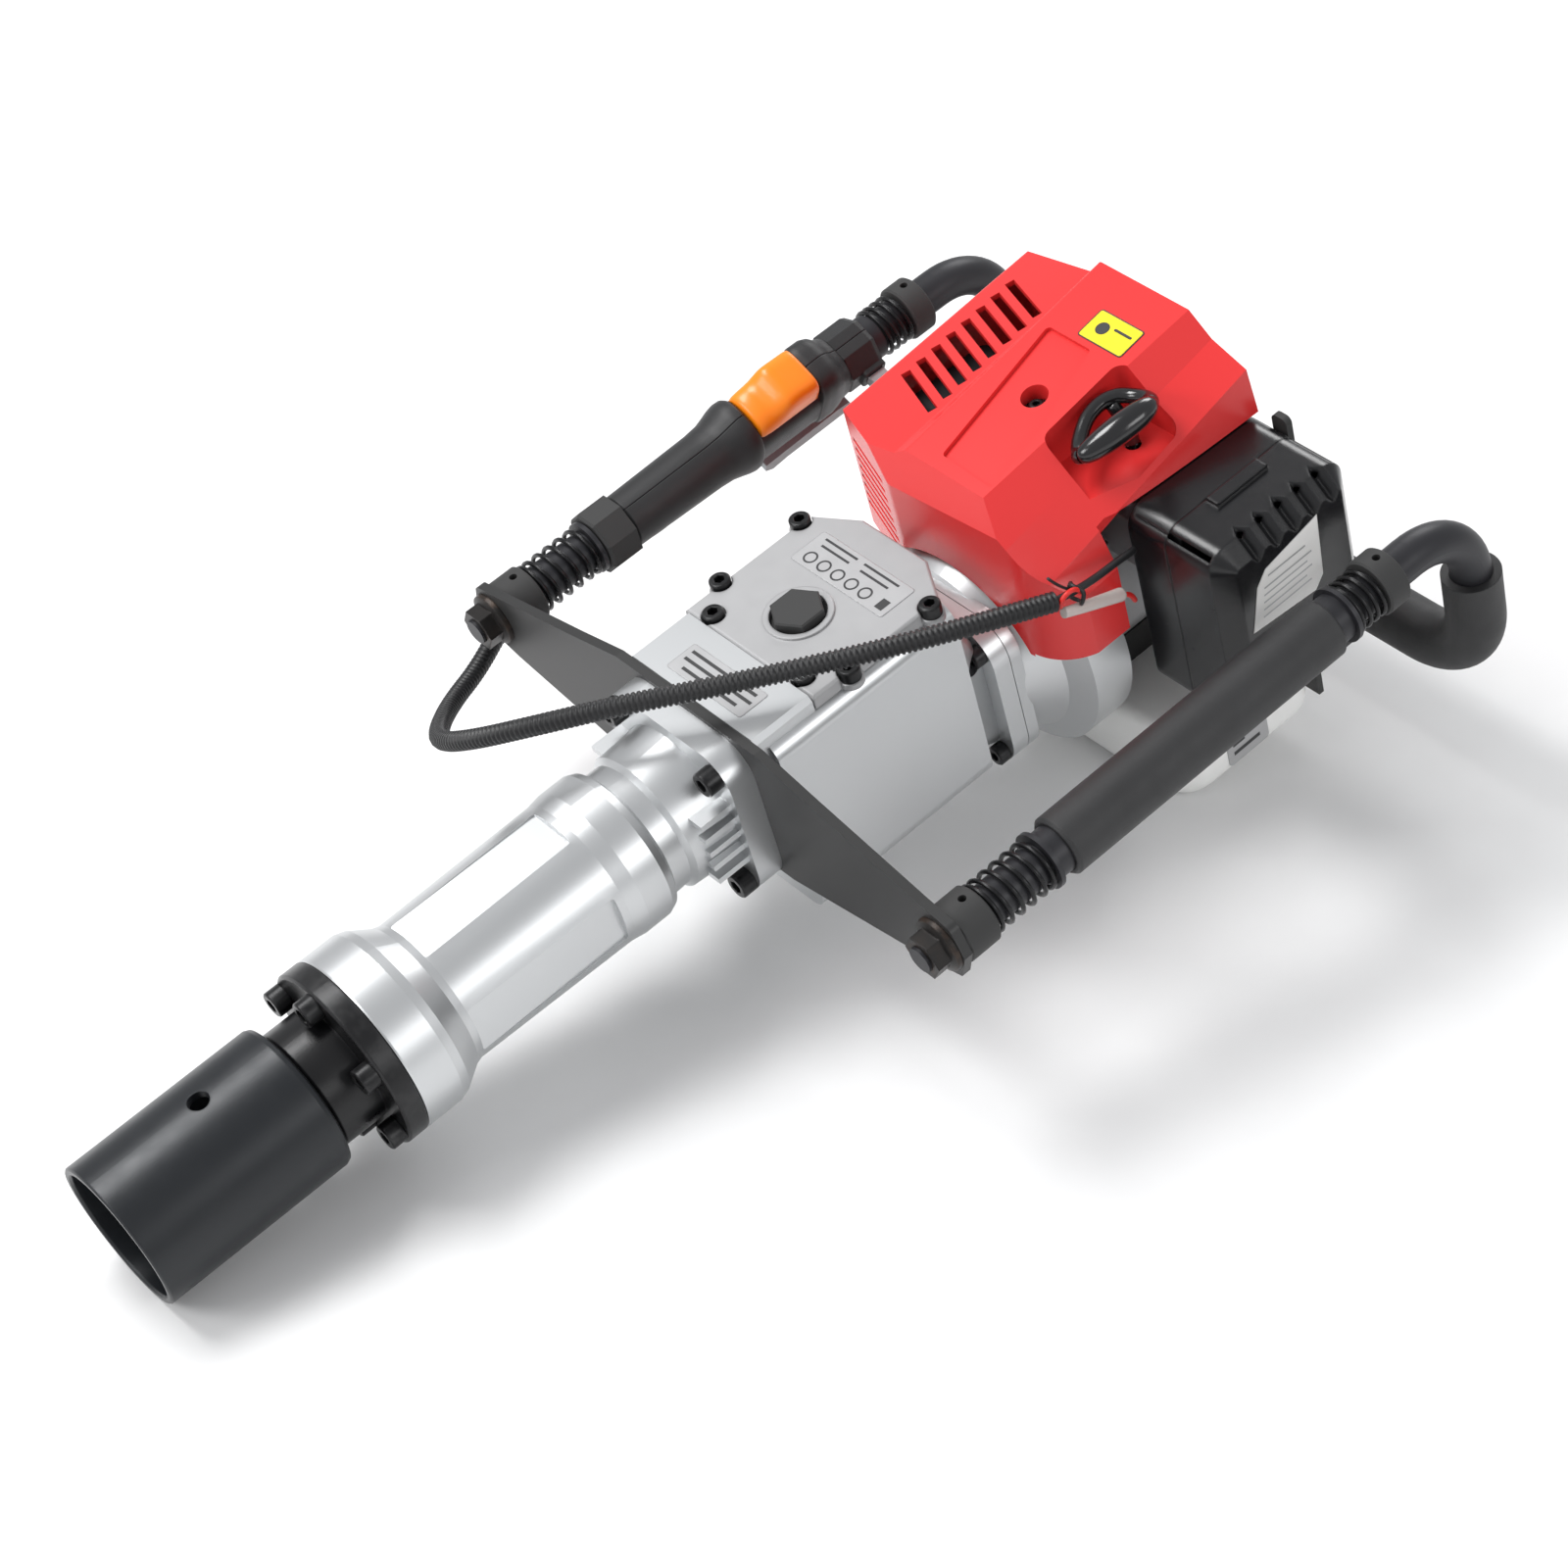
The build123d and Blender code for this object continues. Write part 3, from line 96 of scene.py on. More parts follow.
# ---------------------------------------------------------------- materials
def material(name, colour, rough, metal=0.0, vary=0.08, grain=0.15, grain_size=0.0008, coat=0.0,
             wear=None, wear_colour=(0.5, 0.5, 0.5), transmit=0.0, subsurface=0.0, soft=0.0012):
    """A procedural finish: mottled colour, uneven roughness, fine grain, softened edges, optional wear."""
    rough_vary = 0.08
    mat = bpy.data.materials.new(name)
    mat.use_nodes = True
    nodes, links = mat.node_tree.nodes, mat.node_tree.links
    shader = nodes["Principled BSDF"]
    shader.inputs["Metallic"].default_value = metal
    shader.inputs["Coat Weight"].default_value = coat
    shader.inputs["Coat Roughness"].default_value = 0.12
    shader.inputs["Transmission Weight"].default_value = transmit
    shader.inputs["Subsurface Weight"].default_value = subsurface
    shader.inputs["Subsurface Radius"].default_value = (0.006, 0.006, 0.006)
    coords = nodes.new("ShaderNodeTexCoord")

    def noise(scale, detail):
        """The value of a noise texture laid through the piece."""
        texture = nodes.new("ShaderNodeTexNoise")
        texture.inputs["Scale"].default_value = scale
        texture.inputs["Detail"].default_value = detail
        links.new(coords.outputs["Object"], texture.inputs["Vector"])
        return texture.outputs["Fac"]

    cloud = noise(22, 6)
    speck = noise(90, 8)
    ramp = nodes.new("ShaderNodeValToRGB")
    ramp.color_ramp.elements[0].position = 0.3
    ramp.color_ramp.elements[1].position = 0.7
    ramp.color_ramp.elements[0].color = [c * (1 - vary) for c in colour] + [1]
    ramp.color_ramp.elements[1].color = [min(1, c * (1 + vary)) for c in colour] + [1]
    links.new(cloud, ramp.inputs["Fac"])
    colour_out = ramp.outputs["Color"]
    if wear:
        geometry = nodes.new("ShaderNodeNewGeometry")
        edge = nodes.new("ShaderNodeMapRange")
        edge.inputs["From Min"].default_value = 0.53
        edge.inputs["From Max"].default_value = 0.60
        links.new(geometry.outputs["Pointiness"], edge.inputs["Value"])
        broken = nodes.new("ShaderNodeMath")
        broken.operation = "MULTIPLY"
        links.new(edge.outputs["Result"], broken.inputs[0])
        patch = nodes.new("ShaderNodeMapRange")
        patch.inputs["From Min"].default_value = 0.45
        patch.inputs["From Max"].default_value = 0.62
        patch.inputs["To Max"].default_value = wear
        links.new(speck, patch.inputs["Value"])
        links.new(patch.outputs["Result"], broken.inputs[1])
        mix = nodes.new("ShaderNodeMix")
        mix.data_type = "RGBA"
        links.new(broken.outputs[0], mix.inputs["Factor"])
        links.new(colour_out, mix.inputs["A"])
        mix.inputs["B"].default_value = list(wear_colour) + [1]
        colour_out = mix.outputs["Result"]
    links.new(colour_out, shader.inputs["Base Color"])
    uneven = nodes.new("ShaderNodeMapRange")
    uneven.inputs["To Min"].default_value = max(0.03, rough - rough_vary)
    uneven.inputs["To Max"].default_value = min(1.0, rough + rough_vary)
    links.new(speck, uneven.inputs["Value"])
    links.new(uneven.outputs["Result"], shader.inputs["Roughness"])
    bump = nodes.new("ShaderNodeBump")
    bump.inputs["Strength"].default_value = grain
    bump.inputs["Distance"].default_value = 0.0004
    links.new(noise(1.0 / grain_size, 3), bump.inputs["Height"])
    rounded = nodes.new("ShaderNodeBevel")
    rounded.samples = 4
    rounded.inputs["Radius"].default_value = soft
    links.new(rounded.outputs["Normal"], bump.inputs["Normal"])
    links.new(bump.outputs["Normal"], shader.inputs["Normal"])
    return mat


silver_cover = material("silver_cover", (0.40, 0.40, 0.405), 0.42, 0.25, vary=0.03, grain=0.08,
                        grain_size=0.0009, coat=0.10, soft=0.0018)
sleeve_steel = material("sleeve_steel", (0.013, 0.015, 0.018), 0.36, 0.25, vary=0.06, grain=0.06,
                        grain_size=0.0007)
black_steel = material("black_steel", (0.008, 0.008, 0.009), 0.30, 0.3, vary=0.15, grain=0.10, wear=0.3,
                       wear_colour=(0.06, 0.06, 0.06))
black_screw = material("black_screw", (0.009, 0.009, 0.010), 0.34, 0.4, vary=0.2, grain=0.1, wear=0.3,
                       wear_colour=(0.08, 0.08, 0.08))
dark_nut = material("dark_nut", (0.016, 0.014, 0.013), 0.42, 0.5, vary=0.3, grain=0.15, wear=0.4,
                    wear_colour=(0.10, 0.06, 0.04))
zinc_screw = material("zinc_screw", (0.62, 0.62, 0.63), 0.28, 0.9, vary=0.1, grain=0.1)
black_plastic = material("black_plastic", (0.010, 0.010, 0.011), 0.42, 0.0, vary=0.12, grain=0.25,
                         grain_size=0.0007)
gloss_black = material("gloss_black", (0.006, 0.006, 0.007), 0.18, 0.0, vary=0.1, grain=0.05, coat=0.4)
filter_plastic = material("filter_plastic", (0.005, 0.005, 0.006), 0.24, 0.0, vary=0.1, grain=0.18,
                          grain_size=0.0006, coat=0.1, soft=0.0022)
grip_rubber = material("grip_rubber", (0.016, 0.016, 0.017), 0.48, 0.0, vary=0.12, grain=0.3,
                       grain_size=0.0005)
orange_plastic = material("orange_plastic", (1.0, 0.25, 0.004), 0.34, 0.0, vary=0.04, grain=0.10, coat=0.15)
foam_rubber = material("foam_rubber", (0.022, 0.022, 0.023), 0.56, 0.0, vary=0.15, grain=0.4,
                       grain_size=0.0006)
tank_white = material("tank_white", (0.90, 0.90, 0.88), 0.35, 0.0, vary=0.03, grain=0.12, grain_size=0.002,
                      subsurface=0.35)
aluminium = material("aluminium", (0.50, 0.50, 0.51), 0.42, 0.8, vary=0.08, grain=0.4, grain_size=0.0012)
spring_wire = material("spring_wire", (0.012, 0.012, 0.013), 0.28, 0.5, vary=0.15, grain=0.08)
label_grey = material("label_grey", (0.47, 0.47, 0.475), 0.36, 0.35, vary=0.03, grain=0.06)
label_dark = material("label_dark", (0.030, 0.030, 0.032), 0.5, 0.0, vary=0.1, grain=0.1)
label_white = material("label_white", (0.86, 0.85, 0.83), 0.42, 0.0, vary=0.03, grain=0.05)
label_yellow = material("label_yellow", (0.90, 0.74, 0.01), 0.35, 0.0, vary=0.03, grain=0.05)
floor_white = material("floor_white", (0.86, 0.86, 0.86), 0.7, vary=0.01, grain=0.02)
red_wire = material("red_wire", (0.70, 0.02, 0.015), 0.35, 0.0, vary=0.05, grain=0.05)
clear_sleeve = material("clear_sleeve", (0.80, 0.76, 0.72), 0.22, 0.0, vary=0.06, grain=0.1, transmit=0.35)

# The nodes that aren't listed here wear the plain finishes that the frame brings with it.
finishes = [
    (silver_cover, ["gear_cover"]),
    (zinc_screw, ["grip_screws"]),
    (sleeve_steel, ["post_sleeve"]),
    (black_steel, ["nose_flange"]),
    (bpy.data.materials["black_paint"], ["tank_bracket"]),
    (black_screw, ["hammer_screws", "case_screws", "shroud_screw"]),
    (dark_nut, ["handle_nuts"]),
    (grip_rubber, ["grip_shell_outer", "grip_shell_inner"]),
    (gloss_black, ["starter_handle"]),
    (filter_plastic, ["air_filter_base", "air_filter_cover"]),
    (foam_rubber, ["right_grip_foam", "rear_foam", "filter_element"]),
    (tank_white, ["fuel_tank"]),
    (aluminium, ["crankcase", "engine_cylinder", "flywheel_fan", "engine_piston", "drive_piston",
                 "hammer_rod", "carburettor"]),
    (bpy.data.materials["forged_steel"], ["throttle_arm"]),
]
for finish, labels in finishes:
    for label in labels:
        node = frame["nodes"][label]
        node.data.materials.clear()
        node.data.materials.append(finish)


# ---------------------------------------------------------------- mesh helpers, all in tool millimetres
def link(mesh, name, mat, body):
    """Make a piece of a mesh in tool millimetres, give it its finish and let it ride."""
    mesh.transform(TOOL)
    piece = bpy.data.objects.new(name, mesh)
    bpy.context.collection.objects.link(piece)
    piece.data.materials.append(mat)
    if body:
        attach(piece, body)
    return piece


def tube_mesh(name, path, radii, sides, cap=True):
    """A round tube along path with one radius or a radius at each point."""
    path = [Vector(p) for p in path]
    verts, faces = [], []
    tangent = (path[1] - path[0]).normalized()
    side = tangent.orthogonal().normalized()
    for i, point in enumerate(path):
        ahead = path[min(i + 1, len(path) - 1)] - path[max(i - 1, 0)]
        if ahead.length > 1e-9:
            tangent = ahead.normalized()
        side = (side - tangent * side.dot(tangent)).normalized()
        other = tangent.cross(side)
        radius = radii[i] if hasattr(radii, "__len__") else radii
        for k in range(sides):
            angle = 2 * math.pi * k / sides
            verts.append(point + side * math.cos(angle) * radius + other * math.sin(angle) * radius)
    for i in range(len(path) - 1):
        for k in range(sides):
            a, b = i * sides + k, i * sides + (k + 1) % sides
            faces.append((a, b, b + sides, a + sides))
    if cap:
        faces.append(tuple(range(sides))[::-1])
        faces.append(tuple((len(path) - 1) * sides + k for k in range(sides)))
    mesh = bpy.data.meshes.new(name)
    mesh.from_pydata([tuple(v) for v in verts], [], faces)
    mesh.polygons.foreach_set("use_smooth", [len(p.vertices) == 4 for p in mesh.polygons])
    mesh.update()
    return mesh


def slab_mesh(name, outline, thickness, origin, across_dir, up_dir):
    """A thin plate: its outline on the plane of the two directions, raised by thickness."""
    a_dir, b_dir = Vector(across_dir).normalized(), Vector(up_dir).normalized()
    out_dir = a_dir.cross(b_dir)
    shape = bmesh.new()
    base = [shape.verts.new(Vector(origin) + a_dir * a + b_dir * b) for a, b in outline]
    face = shape.faces.new(base)
    raised = bmesh.ops.extrude_face_region(shape, geom=[face])
    moved = [v for v in raised["geom"] if isinstance(v, bmesh.types.BMVert)]
    bmesh.ops.translate(shape, verts=moved, vec=out_dir * thickness)
    bmesh.ops.recalc_face_normals(shape, faces=shape.faces)
    mesh = bpy.data.meshes.new(name)
    shape.to_mesh(mesh)
    shape.free()
    return mesh


def loft_mesh(name, rings, sharp):
    """A closed skin through rings of equally many points, capped, its edges hard past sharp degrees."""
    count = len(rings[0])
    faces = []
    for i in range(len(rings) - 1):
        for k in range(count):
            a, b = i * count + k, i * count + (k + 1) % count
            faces.append((a, b, b + count, a + count))
    faces.append(tuple(range(count))[::-1])
    faces.append(tuple((len(rings) - 1) * count + k for k in range(count)))
    mesh = bpy.data.meshes.new(name)
    mesh.from_pydata([tuple(p) for ring in rings for p in ring], [], faces)
    shape = bmesh.new()
    shape.from_mesh(mesh)
    bmesh.ops.recalc_face_normals(shape, faces=shape.faces)
    shape.to_mesh(mesh)
    shape.free()
    mesh.polygons.foreach_set("use_smooth", [True] * len(mesh.polygons))
    mesh.set_sharp_from_angle(angle=math.radians(sharp))
    return mesh


def blend_rows(rows, step):
    """Rows of (x, values...) filled in between with straight steps no longer than step."""
    filled = [rows[0]]
    for a, b in zip(rows, rows[1:]):
        count = max(1, math.ceil((b[0] - a[0]) / step))
        for i in range(1, count + 1):
            filled.append(tuple(u + (v - u) * i / count for u, v in zip(a, b)))
    return filled


def rounded_rect(width, height, radius):
    """Outline of a rectangle with round corners about (0, 0)."""
    steps = 5
    points = []
    for cx, cy, start in ((1, 1, 0), (-1, 1, 90), (-1, -1, 180), (1, -1, 270)):
        for k in range(steps + 1):
            angle = math.radians(start + 90 * k / steps)
            points.append((cx * (width / 2 - radius) + radius * math.cos(angle),
                           cy * (height / 2 - radius) + radius * math.sin(angle)))
    return points


# ---------------------------------------------------------------- throttle conduit
conduit_step = 0.55
ring_pitch = 3.3
ring_radius = 6.1
groove_radius = 5.1
conduit_route = [(540, 212, -22), (505, 221, -22), (466, 225, -21), (432, 222, -25), (400, 206, -27),
                 (368, 186, -16), (343, 158, 2), (326, 124, 26), (330, 86, 50), (352, 48, 68), (388, 10, 79),
                 (430, -26, 82), (476, -58, 81), (524, -84, 76), (568, -100, 67), (606, -110, 57)]


def spline_points(route, name, resolution=24):
    """Points along the smooth NURBS line that has the route as its control points."""
    curve = bpy.data.curves.new(name + "_line", "CURVE")
    curve.dimensions = "3D"
    line = curve.splines.new("NURBS")
    line.points.add(len(route) - 1)
    for point, place in zip(line.points, route):
        point.co = (*place, 1)
    line.order_u = 3
    line.use_endpoint_u = True
    line.resolution_u = resolution
    holder = bpy.data.objects.new(name + "_line", curve)
    bpy.context.collection.objects.link(holder)
    bpy.context.view_layer.update()
    mesh = bpy.data.meshes.new_from_object(holder.evaluated_get(bpy.context.evaluated_depsgraph_get()))
    points = [v.co.copy() for v in mesh.vertices]
    bpy.data.objects.remove(holder)
    bpy.data.meshes.remove(mesh)
    return points


def even_points(points, step):
    """The same line as points a step apart."""
    lengths = [0.0]
    for a, b in zip(points, points[1:]):
        lengths.append(lengths[-1] + (b - a).length)
    count = max(2, int(lengths[-1] / step))
    found, k = [], 0
    for i in range(count + 1):
        want = lengths[-1] * i / count
        while k < len(points) - 2 and lengths[k + 1] < want:
            k += 1
        share = (want - lengths[k]) / max(1e-9, lengths[k + 1] - lengths[k])
        found.append(points[k].lerp(points[k + 1], share))
    return found, lengths[-1]


def make_conduit():
    """The corrugated tube with its rings, from the grip to the shroud's front corner."""
    line, length = even_points(spline_points(conduit_route, "conduit"), conduit_step)
    radii = []
    for i in range(len(line)):
        phase = (i * conduit_step / ring_pitch) % 1.0
        radii.append(ring_radius if phase < 0.5 else groove_radius)
    radii[0] = radii[-1] = groove_radius - 0.1
    piece = link(tube_mesh("throttle_conduit_rings", line, radii, 14), "throttle_conduit_rings",
                 black_plastic, "housing")
    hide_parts("throttle_conduit")


make_conduit()


# ---------------------------------------------------------------- throttle cable's two ends
def bent_tube(name, route, start, end, mat, body, sides=10):
    """A smooth round piece along a few control points, its radius going evenly from start to end."""
    points, _ = even_points(spline_points(route, name, 16), 1.5)
    radii = [start + (end - start) * i / (len(points) - 1) for i in range(len(points))]
    return link(tube_mesh(name, points, radii, sides), name, mat, body)


def make_cable_ends():
    """The gland under the grip, and the inner cable, tie, wire and bullet connector beside the shroud."""
    gland_route = [(549, 208, -17), (544, 210.4, -20), (537, 212.8, -22.1), (528, 215, -22.2)]
    bent_tube("conduit_gland", gland_route, 8.6, 6.9, black_plastic, "left_grip", 18)
    cable_route = [(604, -109.6, 57.4), (618, -111, 55), (636, -110, 51), (656, -106, 46), (672, -102, 40)]
    bent_tube("throttle_inner_cable", cable_route, 2.3, 2.3, black_plastic, "housing")
    tail_route = [(618, -111, 57), (611, -110, 64), (606, -108, 74)]
    bent_tube("cable_tail", tail_route, 0.9, 0.9, black_plastic, "housing", 8)
    tie = []
    for i in range(29):
        angle = 2 * math.pi * i / 28
        tie.append((620 + 1.2 * math.sin(3 * angle), -111.5 + 6.0 * math.cos(angle),
                    53.0 + 7.0 * math.sin(angle)))
    link(tube_mesh("cable_tie", tie, 1.3, 8), "cable_tie", black_plastic, "housing")
    lead_route = [(607, -112.4, 53), (606, -114.5, 59), (612, -115.5, 63), (619, -115, 60), (622, -114, 54)]
    bent_tube("red_lead", lead_route, 1.5, 1.5, red_wire, "housing")
    sleeve_route = [(607, -114, 49.5), (615, -114.5, 46), (632, -113, 37), (651, -110, 26)]
    bent_tube("connector_sleeve", sleeve_route, 3.2, 4.2, clear_sleeve, "housing", sides=14)
    end_route = [(649, -110.3, 27.2), (656, -109, 22), (662, -106, 13), (666, -101.5, 4)]
    bent_tube("connector_lead", end_route, 1.6, 1.6, red_wire, "housing", sides=8)


make_cable_ends()

# ---------------------------------------------------------------- throttle grip
lean = math.radians(28)
seam_gap = 0.22
lever_base = 17.6


def leaning(x, w, u):
    """A tool point from the turned grip's own axes: w outwards along its width, u up towards its lever."""
    return (x, handle_y + w * math.cos(lean) - u * math.sin(lean),
            handle_z + w * math.sin(lean) + u * math.cos(lean))


def power(value, n):
    """A sine or cosine bent so that a section is round at n 2 and squarer above."""
    return math.copysign(abs(value) ** (2 / n), value)


def shell_ring(x, half, top, low, n, side):
    """Half of the grip's section at x, from the seam at the bottom round one side to the seam on top."""
    ring = []
    for i in range(25):
        angle = math.radians(-90 + 180 * i / 24)
        reach = top if angle > 0 else low
        w = side * max(seam_gap, half * power(math.cos(angle), n))
        ring.append(leaning(x, w, reach * power(math.sin(angle), n)))
    return ring


def collar_ring(x, apothem, low, side):
    """Half of an eight-sided collar with a deeper foot below for the trigger's pin."""
    flat = apothem * 0.4142
    corners = [(seam_gap, -low), (12.0, -low), (12.5, -apothem * 0.92), (apothem, -apothem * 0.42),
               (apothem, flat), (flat, apothem), (seam_gap, apothem)]
    ring = []
    for a, b in zip(corners, corners[1:]):
        for i in range(4):
            ring.append((a[0] + (b[0] - a[0]) * i / 4, a[1] + (b[1] - a[1]) * i / 4))
    ring.append(corners[-1])
    return [leaning(x, side * w, u) for w, u in ring]


def lever_ring(x, half, top, n):
    """The lever's arched section at x, flat below."""
    ring = []
    for i in range(29):
        angle = math.pi * i / 28
        rise = (top - lever_base) * math.sin(angle) ** (2 / n)
        ring.append(leaning(x, half * power(math.cos(angle), n), lever_base + rise))
    return ring


def make_throttle_grip():
    """Two moulded halves with the lever's pocket, their octagonal collar and the stop switch's seat."""
    # Each row is (x, half width, reach up, reach down, squareness).
    grip = blend_rows([(521, 16.6, 16.6, 16.6, 2), (522.5, 18.0, 18.0, 18.0, 2), (560, 18.8, 18.8, 19.0, 2),
                       (588, 19.4, 19.6, 19.6, 2), (598, 20.3, 21.2, 20.0, 2), (604, 21.8, 24.0, 20.4, 2.1),
                       (609, 23.2, 26.4, 20.8, 2.2), (613, 23.8, 27.6, 21.0, 2.3),
                       (617, 23.4, 27.2, 21.0, 2.4), (619.2, 22.0, 25.0, 21.0, 2.5),
                       (619.4, 19.8, 17.4, 20.6, 3)], 4)
    pocket = blend_rows([(619.4, 19.8, 17.4, 20.6, 3), (626, 19.6, 17.2, 20.2, 3.4),
                         (664, 19.6, 17.2, 20.6, 3.4), (668.4, 19.8, 17.4, 22.0, 3.4)], 6)
    block = blend_rows([(668.4, 19.8, 17.4, 22.0, 3.4), (668.6, 20.4, 28.4, 22.2, 4.0),
                        (671, 21.2, 29.8, 22.6, 4.0), (680, 21.2, 30.2, 23.0, 3.8),
                        (685, 20.4, 28.2, 23.4, 3.4), (690, 18.9, 23.2, 24.0, 2.8),
                        (694, 18.5, 21.2, 24.2, 2.5), (695, 18.6, 20.2, 24.4, 2.4)], 3)
    collar = [(694.4, 17.6, 24.2), (696, 19.0, 25.2), (718, 19.0, 25.2), (721, 17.8, 23.0)]
    for side, place in ((1, "outer"), (-1, "inner")):
        label = "throttle_grip_" + place
        rings = [shell_ring(*row, side) for row in grip + pocket[1:] + block[1:]]
        shell = link(loft_mesh(label, rings, 38), label, grip_rubber, "left_grip")
        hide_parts("grip_shell_" + place)
        label += "_collar"
        rings = [collar_ring(*row, side) for row in collar]
        link(loft_mesh(label, rings, 12), label, grip_rubber, "left_grip")
    switch_x = 712
    seat_outline = rounded_rect(18, 15, 3)
    seat = []
    for w, size in ((-17.5, 1.0), (-21.5, 1.0), (-22.25, 0.92)):
        seat.append([leaning(switch_x + a * size, w, 1 + b * size) for a, b in seat_outline])
    link(loft_mesh("switch_seat", seat, 30), "switch_seat", grip_rubber, "left_grip")


def make_lever():
    """The safety lever, low and round at its pivot and high and square at its rear."""
    # Each row is (x, half width, top, squareness).
    rows = blend_rows([(620.2, 15.6, 25.2, 2.2), (622, 16.4, 27.6, 2.3), (627, 16.9, 29.2, 2.5),
                       (632, 17.0, 29.8, 2.8), (636, 17.0, 31.6, 3.2), (640, 17.0, 35.0, 4.0),
                       (643, 17.0, 36.9, 4.6), (647, 17.0, 37.4, 5.0), (663, 17.0, 35.8, 5.0),
                       (665.6, 16.8, 35.2, 4.8), (666.6, 15.8, 33.6, 4.2)], 2.5)
    lever = link(loft_mesh("lock_lever", [lever_ring(*row) for row in rows], 50), "lock_lever",
                 orange_plastic, "lock")
    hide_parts("throttle_lock")


make_throttle_grip()
make_lever()


# ---------------------------------------------------------------- starter's pull loop
rope_x = 716
rope_y = -61


def make_pull_loop():
    """A D-shaped loop, thick along the finger bar and thin round the back, on a short stem."""
    bar = [(676, -66, 90), (686, -71, 94), (700, -75, 98), (714, -77, 100), (724, -75, 99)]
    arch = [(728, -68, 96), (726, -58, 94), (720, -50, 94), (711, -46, 93), (699, -47, 91), (687, -53, 88),
            (679, -60, 87)]
    route = bar + arch
    steps = 12
    thin = 4.6
    swell = 4.0
    points, radii = [], []
    for i in range(len(route) * steps):
        k, t = i // steps, (i % steps) / steps
        p = [Vector(route[(k + j) % len(route)]) for j in (-1, 0, 1, 2)]
        points.append(0.5 * ((2 * p[1]) + (p[2] - p[0]) * t + (2 * p[0] - 5 * p[1] + 4 * p[2] - p[3]) * t * t
                             + (3 * p[1] - p[0] - 3 * p[2] + p[3]) * t * t * t))
        along = min(1.0, (k + t) / (len(bar) - 1))
        radii.append(thin + swell * max(0.0, math.sin(math.pi * along)) ** 0.7)
    points.append(points[0])
    radii.append(radii[0])
    loop = link(tube_mesh("pull_loop", points, radii, 18, cap=False), "pull_loop", gloss_black,
                "pull_handle")
    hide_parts("starter_handle")
    stem_route = [(rope_x, rope_y, 68), (rope_x, rope_y, 74), (716, -60, 82), (715, -51, 92)]
    bent_tube("pull_loop_stem", stem_route, 5.0, 4.2, gloss_black, "pull_handle", 14)


def make_rope():
    """The starter rope, which stretches from the housing's guide to the loop's stem."""
    low = 60
    high = 73
    line = [(rope_x, rope_y, z) for z in range(low, high + 1)]
    rope = link(tube_mesh("starter_rope", line, 1.8, 10), "starter_rope", black_plastic, None)
    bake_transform(rope)


make_pull_loop()
make_rope()


# ---------------------------------------------------------------- plain plates where the labels are
plate_rise = 0.3
mark_rise = 0.38
ring_rise = 0.4
left = (0, -1, 0)
back = (1, 0, 0)
up = (0, 0, 1)


def plate(name, outline, origin, across_dir, up_dir, mat, thickness=plate_rise):
    """A thin plate that lies on the housing."""
    return link(slab_mesh(name, outline, thickness, origin, across_dir, up_dir), name, mat, "housing")


def bars(name, rows, origin, across_dir, up_dir, mat=label_dark, height=1.5):
    """Rows of short plain strips on a plate, each (up, start, end), standing in for printing."""
    a_dir, b_dir = Vector(across_dir).normalized(), Vector(up_dir).normalized()
    out = a_dir.cross(b_dir) * mark_rise
    shape = bmesh.new()
    for b, start, end in rows:
        low, high = b - height / 2, b + height / 2
        corners = [(start, low), (end, low), (end, high), (start, high)]
        shape.faces.new([shape.verts.new(Vector(origin) + a_dir * p + b_dir * q + out) for p, q in corners])
    mesh = bpy.data.meshes.new(name)
    shape.to_mesh(mesh)
    shape.free()
    return link(mesh, name, mat, "housing")


def ring_row(name, centres, origin, across_dir, up_dir):
    """Plain rings in a row on a plate."""
    a_dir, b_dir = Vector(across_dir).normalized(), Vector(up_dir).normalized()
    out = a_dir.cross(b_dir) * ring_rise
    sides = 28
    verts, faces = [], []
    for a, b in centres:
        start = len(verts)
        for i in range(sides):
            angle = 2 * math.pi * i / sides
            for radius in (3.4, 4.6):
                verts.append(Vector(origin) + a_dir * (a + radius * math.cos(angle))
                             + b_dir * (b + radius * math.sin(angle)) + out)
        for i in range(sides):
            j = (i + 1) % sides
            faces.append((start + 2 * i, start + 2 * i + 1, start + 2 * j + 1, start + 2 * j))
    mesh = bpy.data.meshes.new(name)
    mesh.from_pydata([tuple(v) for v in verts], [], faces)
    return link(mesh, name, label_dark, "housing")


def make_case_plates():
    """The two plates on the gear case and its cover."""
    front = (445.0, -2.0, 59.02)
    plate("case_plate", rounded_rect(66, 22, 2), front, left, back, label_grey)
    bars("case_plate_marks", [(6, -29, 28), (0, -29, 30), (-6, -24, 24)], front, left, back, height=2.2)
    rear = (549.0, -1.0, 59.02)
    lines = [(9.5, -34, -6), (9.5, 0, 30), (4.5, -32, -8), (4.5, 2, 26)]
    plate("cover_plate", rounded_rect(80, 27, 2), rear, left, back, label_grey)
    bars("cover_plate_marks", lines, rear, left, back, height=1.6)
    ring_row("cover_plate_rings", [(-30 + 12.0 * i, -6.0) for i in range(5)], rear, left, back)
    bars("cover_plate_block", [(-6, 30, 36)], rear, left, back, height=8)


def make_filter_plate():
    """The six-cornered plate on the filter cover's outer face."""
    side = (728.0, -166.46, 14.0)
    outline = [(-33, -21), (17, -26), (24, -18), (26, 27), (-17, 18), (-25, 9)]
    lines = [(12, -16, 14), (5, -20, 18), (0, -21, 14), (-5, -22, 17), (-10, -23, 12), (-15, -24, 15)]
    plate("filter_plate", outline, side, back, up, label_white)
    bars("filter_plate_marks", lines, side, back, up, mat=label_grey, height=1.3)


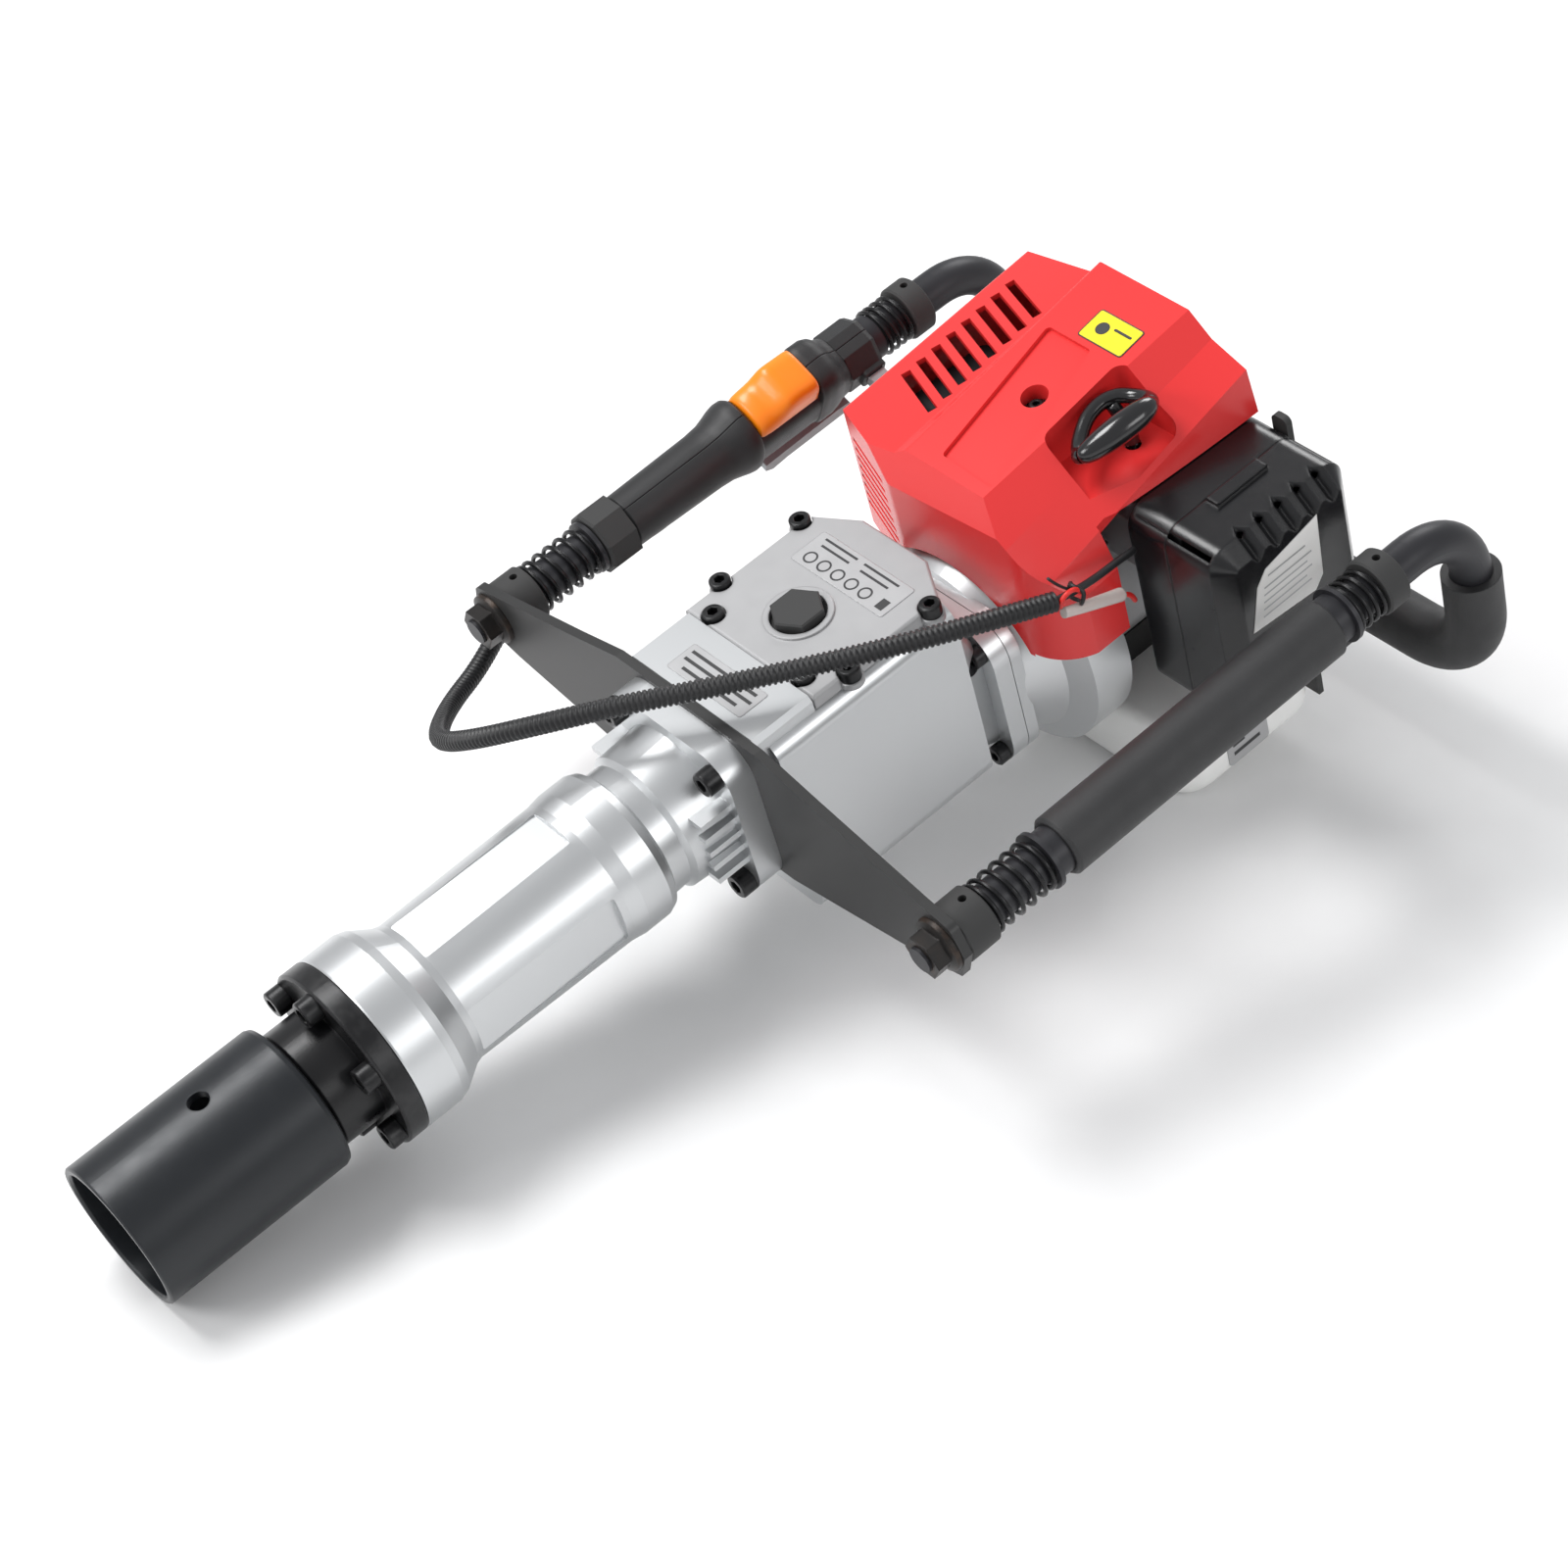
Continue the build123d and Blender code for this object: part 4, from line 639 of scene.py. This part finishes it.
def make_shroud_plate():
    """The shroud's caution plate on its sloping top: a dark edge, a bright field, a disc and a bar."""
    brow_x, brow_z = 606, 82.7
    plate_x = 747.5
    slope = math.atan2(29.3, 178)
    along = Vector((math.cos(slope), 0, math.sin(slope)))
    out = Vector((-math.sin(slope), 0, math.cos(slope)))
    across = (0, 1, 0)
    spot = Vector((plate_x, -20.0, brow_z + (plate_x - brow_x) * math.tan(slope))) + out * 0.05
    disc = spot + out * 0.25 + Vector((0, 7, 0))
    bar = spot + out * 0.25 + along * 3 + Vector((0, -7, 0))
    plate("shroud_plate_edge", rounded_rect(22, 36, 2), spot, along, across, label_dark, 0.25)
    plate("shroud_plate", rounded_rect(20.6, 34.6, 1.6), spot + out * 0.1, along, across, label_yellow, 0.25)
    plate("shroud_plate_mark", rounded_rect(9, 9, 4.4), disc, along, across, label_dark, 0.2)
    plate("shroud_plate_bar", rounded_rect(1.8, 14, 0.8), bar, along, across, label_dark, 0.2)


def make_tank_plate():
    """A small plate on the tank's right side."""
    tank = (722.0, -108.05, -158.0)
    plate("tank_plate", rounded_rect(34, 22, 3), tank, back, up, label_grey)
    bars("tank_plate_marks", [(4, -12, -2), (-3, -12, 10)], tank, back, up, height=3)


make_case_plates()
make_filter_plate()
make_shroud_plate()
make_tank_plate()

# ---------------------------------------------------------------- springs
coil_radius = 15.4
wire_radius = 1.45
closed_share = 0.12
closed_pitch = 0.4
front_gap = (449.2, 493.8)
rear_gap = (730.2, 752.8)


def spring(name, y, x0, x1, turns, body_a, body_b):
    """A coil spring with closed ends from x0 to x1 round a handle tube; body_a and body_b are not used."""
    steps = turns * 24
    closed_travel = closed_share * closed_pitch
    path = []
    for i in range(steps + 1):
        share = i / steps
        if share < closed_share:
            lead = share * closed_pitch
        elif share > 1 - closed_share:
            lead = 1 - (1 - share) * closed_pitch
        else:
            open_share = (share - closed_share) / (1 - 2 * closed_share)
            lead = closed_travel + open_share * (1 - 2 * closed_travel)
        angle = 2 * math.pi * turns * share
        x = x0 + 1.5 + (x1 - x0 - 3.0) * lead
        path.append((x, y + coil_radius * math.cos(angle), handle_z + coil_radius * math.sin(angle)))
    piece = link(tube_mesh(name, path, wire_radius, 8), name, spring_wire, None)
    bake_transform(piece)
    return piece


for side, y in (("left", handle_y), ("right", -handle_y)):
    front = spring("front_spring_" + side, y, *front_gap, 6, "housing", side + "_grip")
    rear = spring("rear_spring_" + side, y, *rear_gap, 4, side + "_grip", "housing")
    if side == "left":
        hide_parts("front_springs")
        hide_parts("rear_springs")


# ---------------------------------------------------------------- floor and light
def stage():
    """A wide pale floor, a white sky and four soft lights."""
    half = 8
    corners = [(-half, -half, 0), (half, -half, 0), (half, half, 0), (-half, half, 0)]
    floor = bpy.data.meshes.new("floor")
    floor.from_pydata(corners, [], [(0, 1, 2, 3)])
    ground = bpy.data.objects.new("floor", floor)
    bpy.context.collection.objects.link(ground)
    ground.data.materials.append(floor_white)
    world = bpy.data.worlds.new("studio")
    bpy.context.scene.world = world
    world.use_nodes = True
    world.node_tree.nodes["Background"].inputs["Color"].default_value = (0.97, 0.98, 1.0, 1)
    world.node_tree.nodes["Background"].inputs["Strength"].default_value = 0.55
    bpy.context.scene.view_settings.view_transform = "Standard"
    lamps = [("key", (-0.7, 1.0, 2.3), 1.3, 46, (0.1, 0, 0.1)),
             ("left_strip", (-1.9, 0.5, 1.3), 1.0, 16, (0.1, 0, 0.1)),
             ("rim", (1.9, 1.0, 1.5), 1.0, 16, (0.2, 0, 0.15)),
             ("fill", (0.6, -2.2, 1.2), 1.2, 12, (0.1, 0, 0.1))]
    for name, place, size, energy, aim in lamps:
        lamp = bpy.data.objects.new(name, bpy.data.lights.new(name, "AREA"))
        lamp.data.shape = "RECTANGLE"
        lamp.data.size, lamp.data.size_y = size, size * 0.7
        lamp.data.energy = energy
        lamp.location = place
        lamp.rotation_euler = (Vector(aim) - Vector(place)).to_track_quat("-Z", "Y").to_euler()
        bpy.context.collection.objects.link(lamp)


stage()
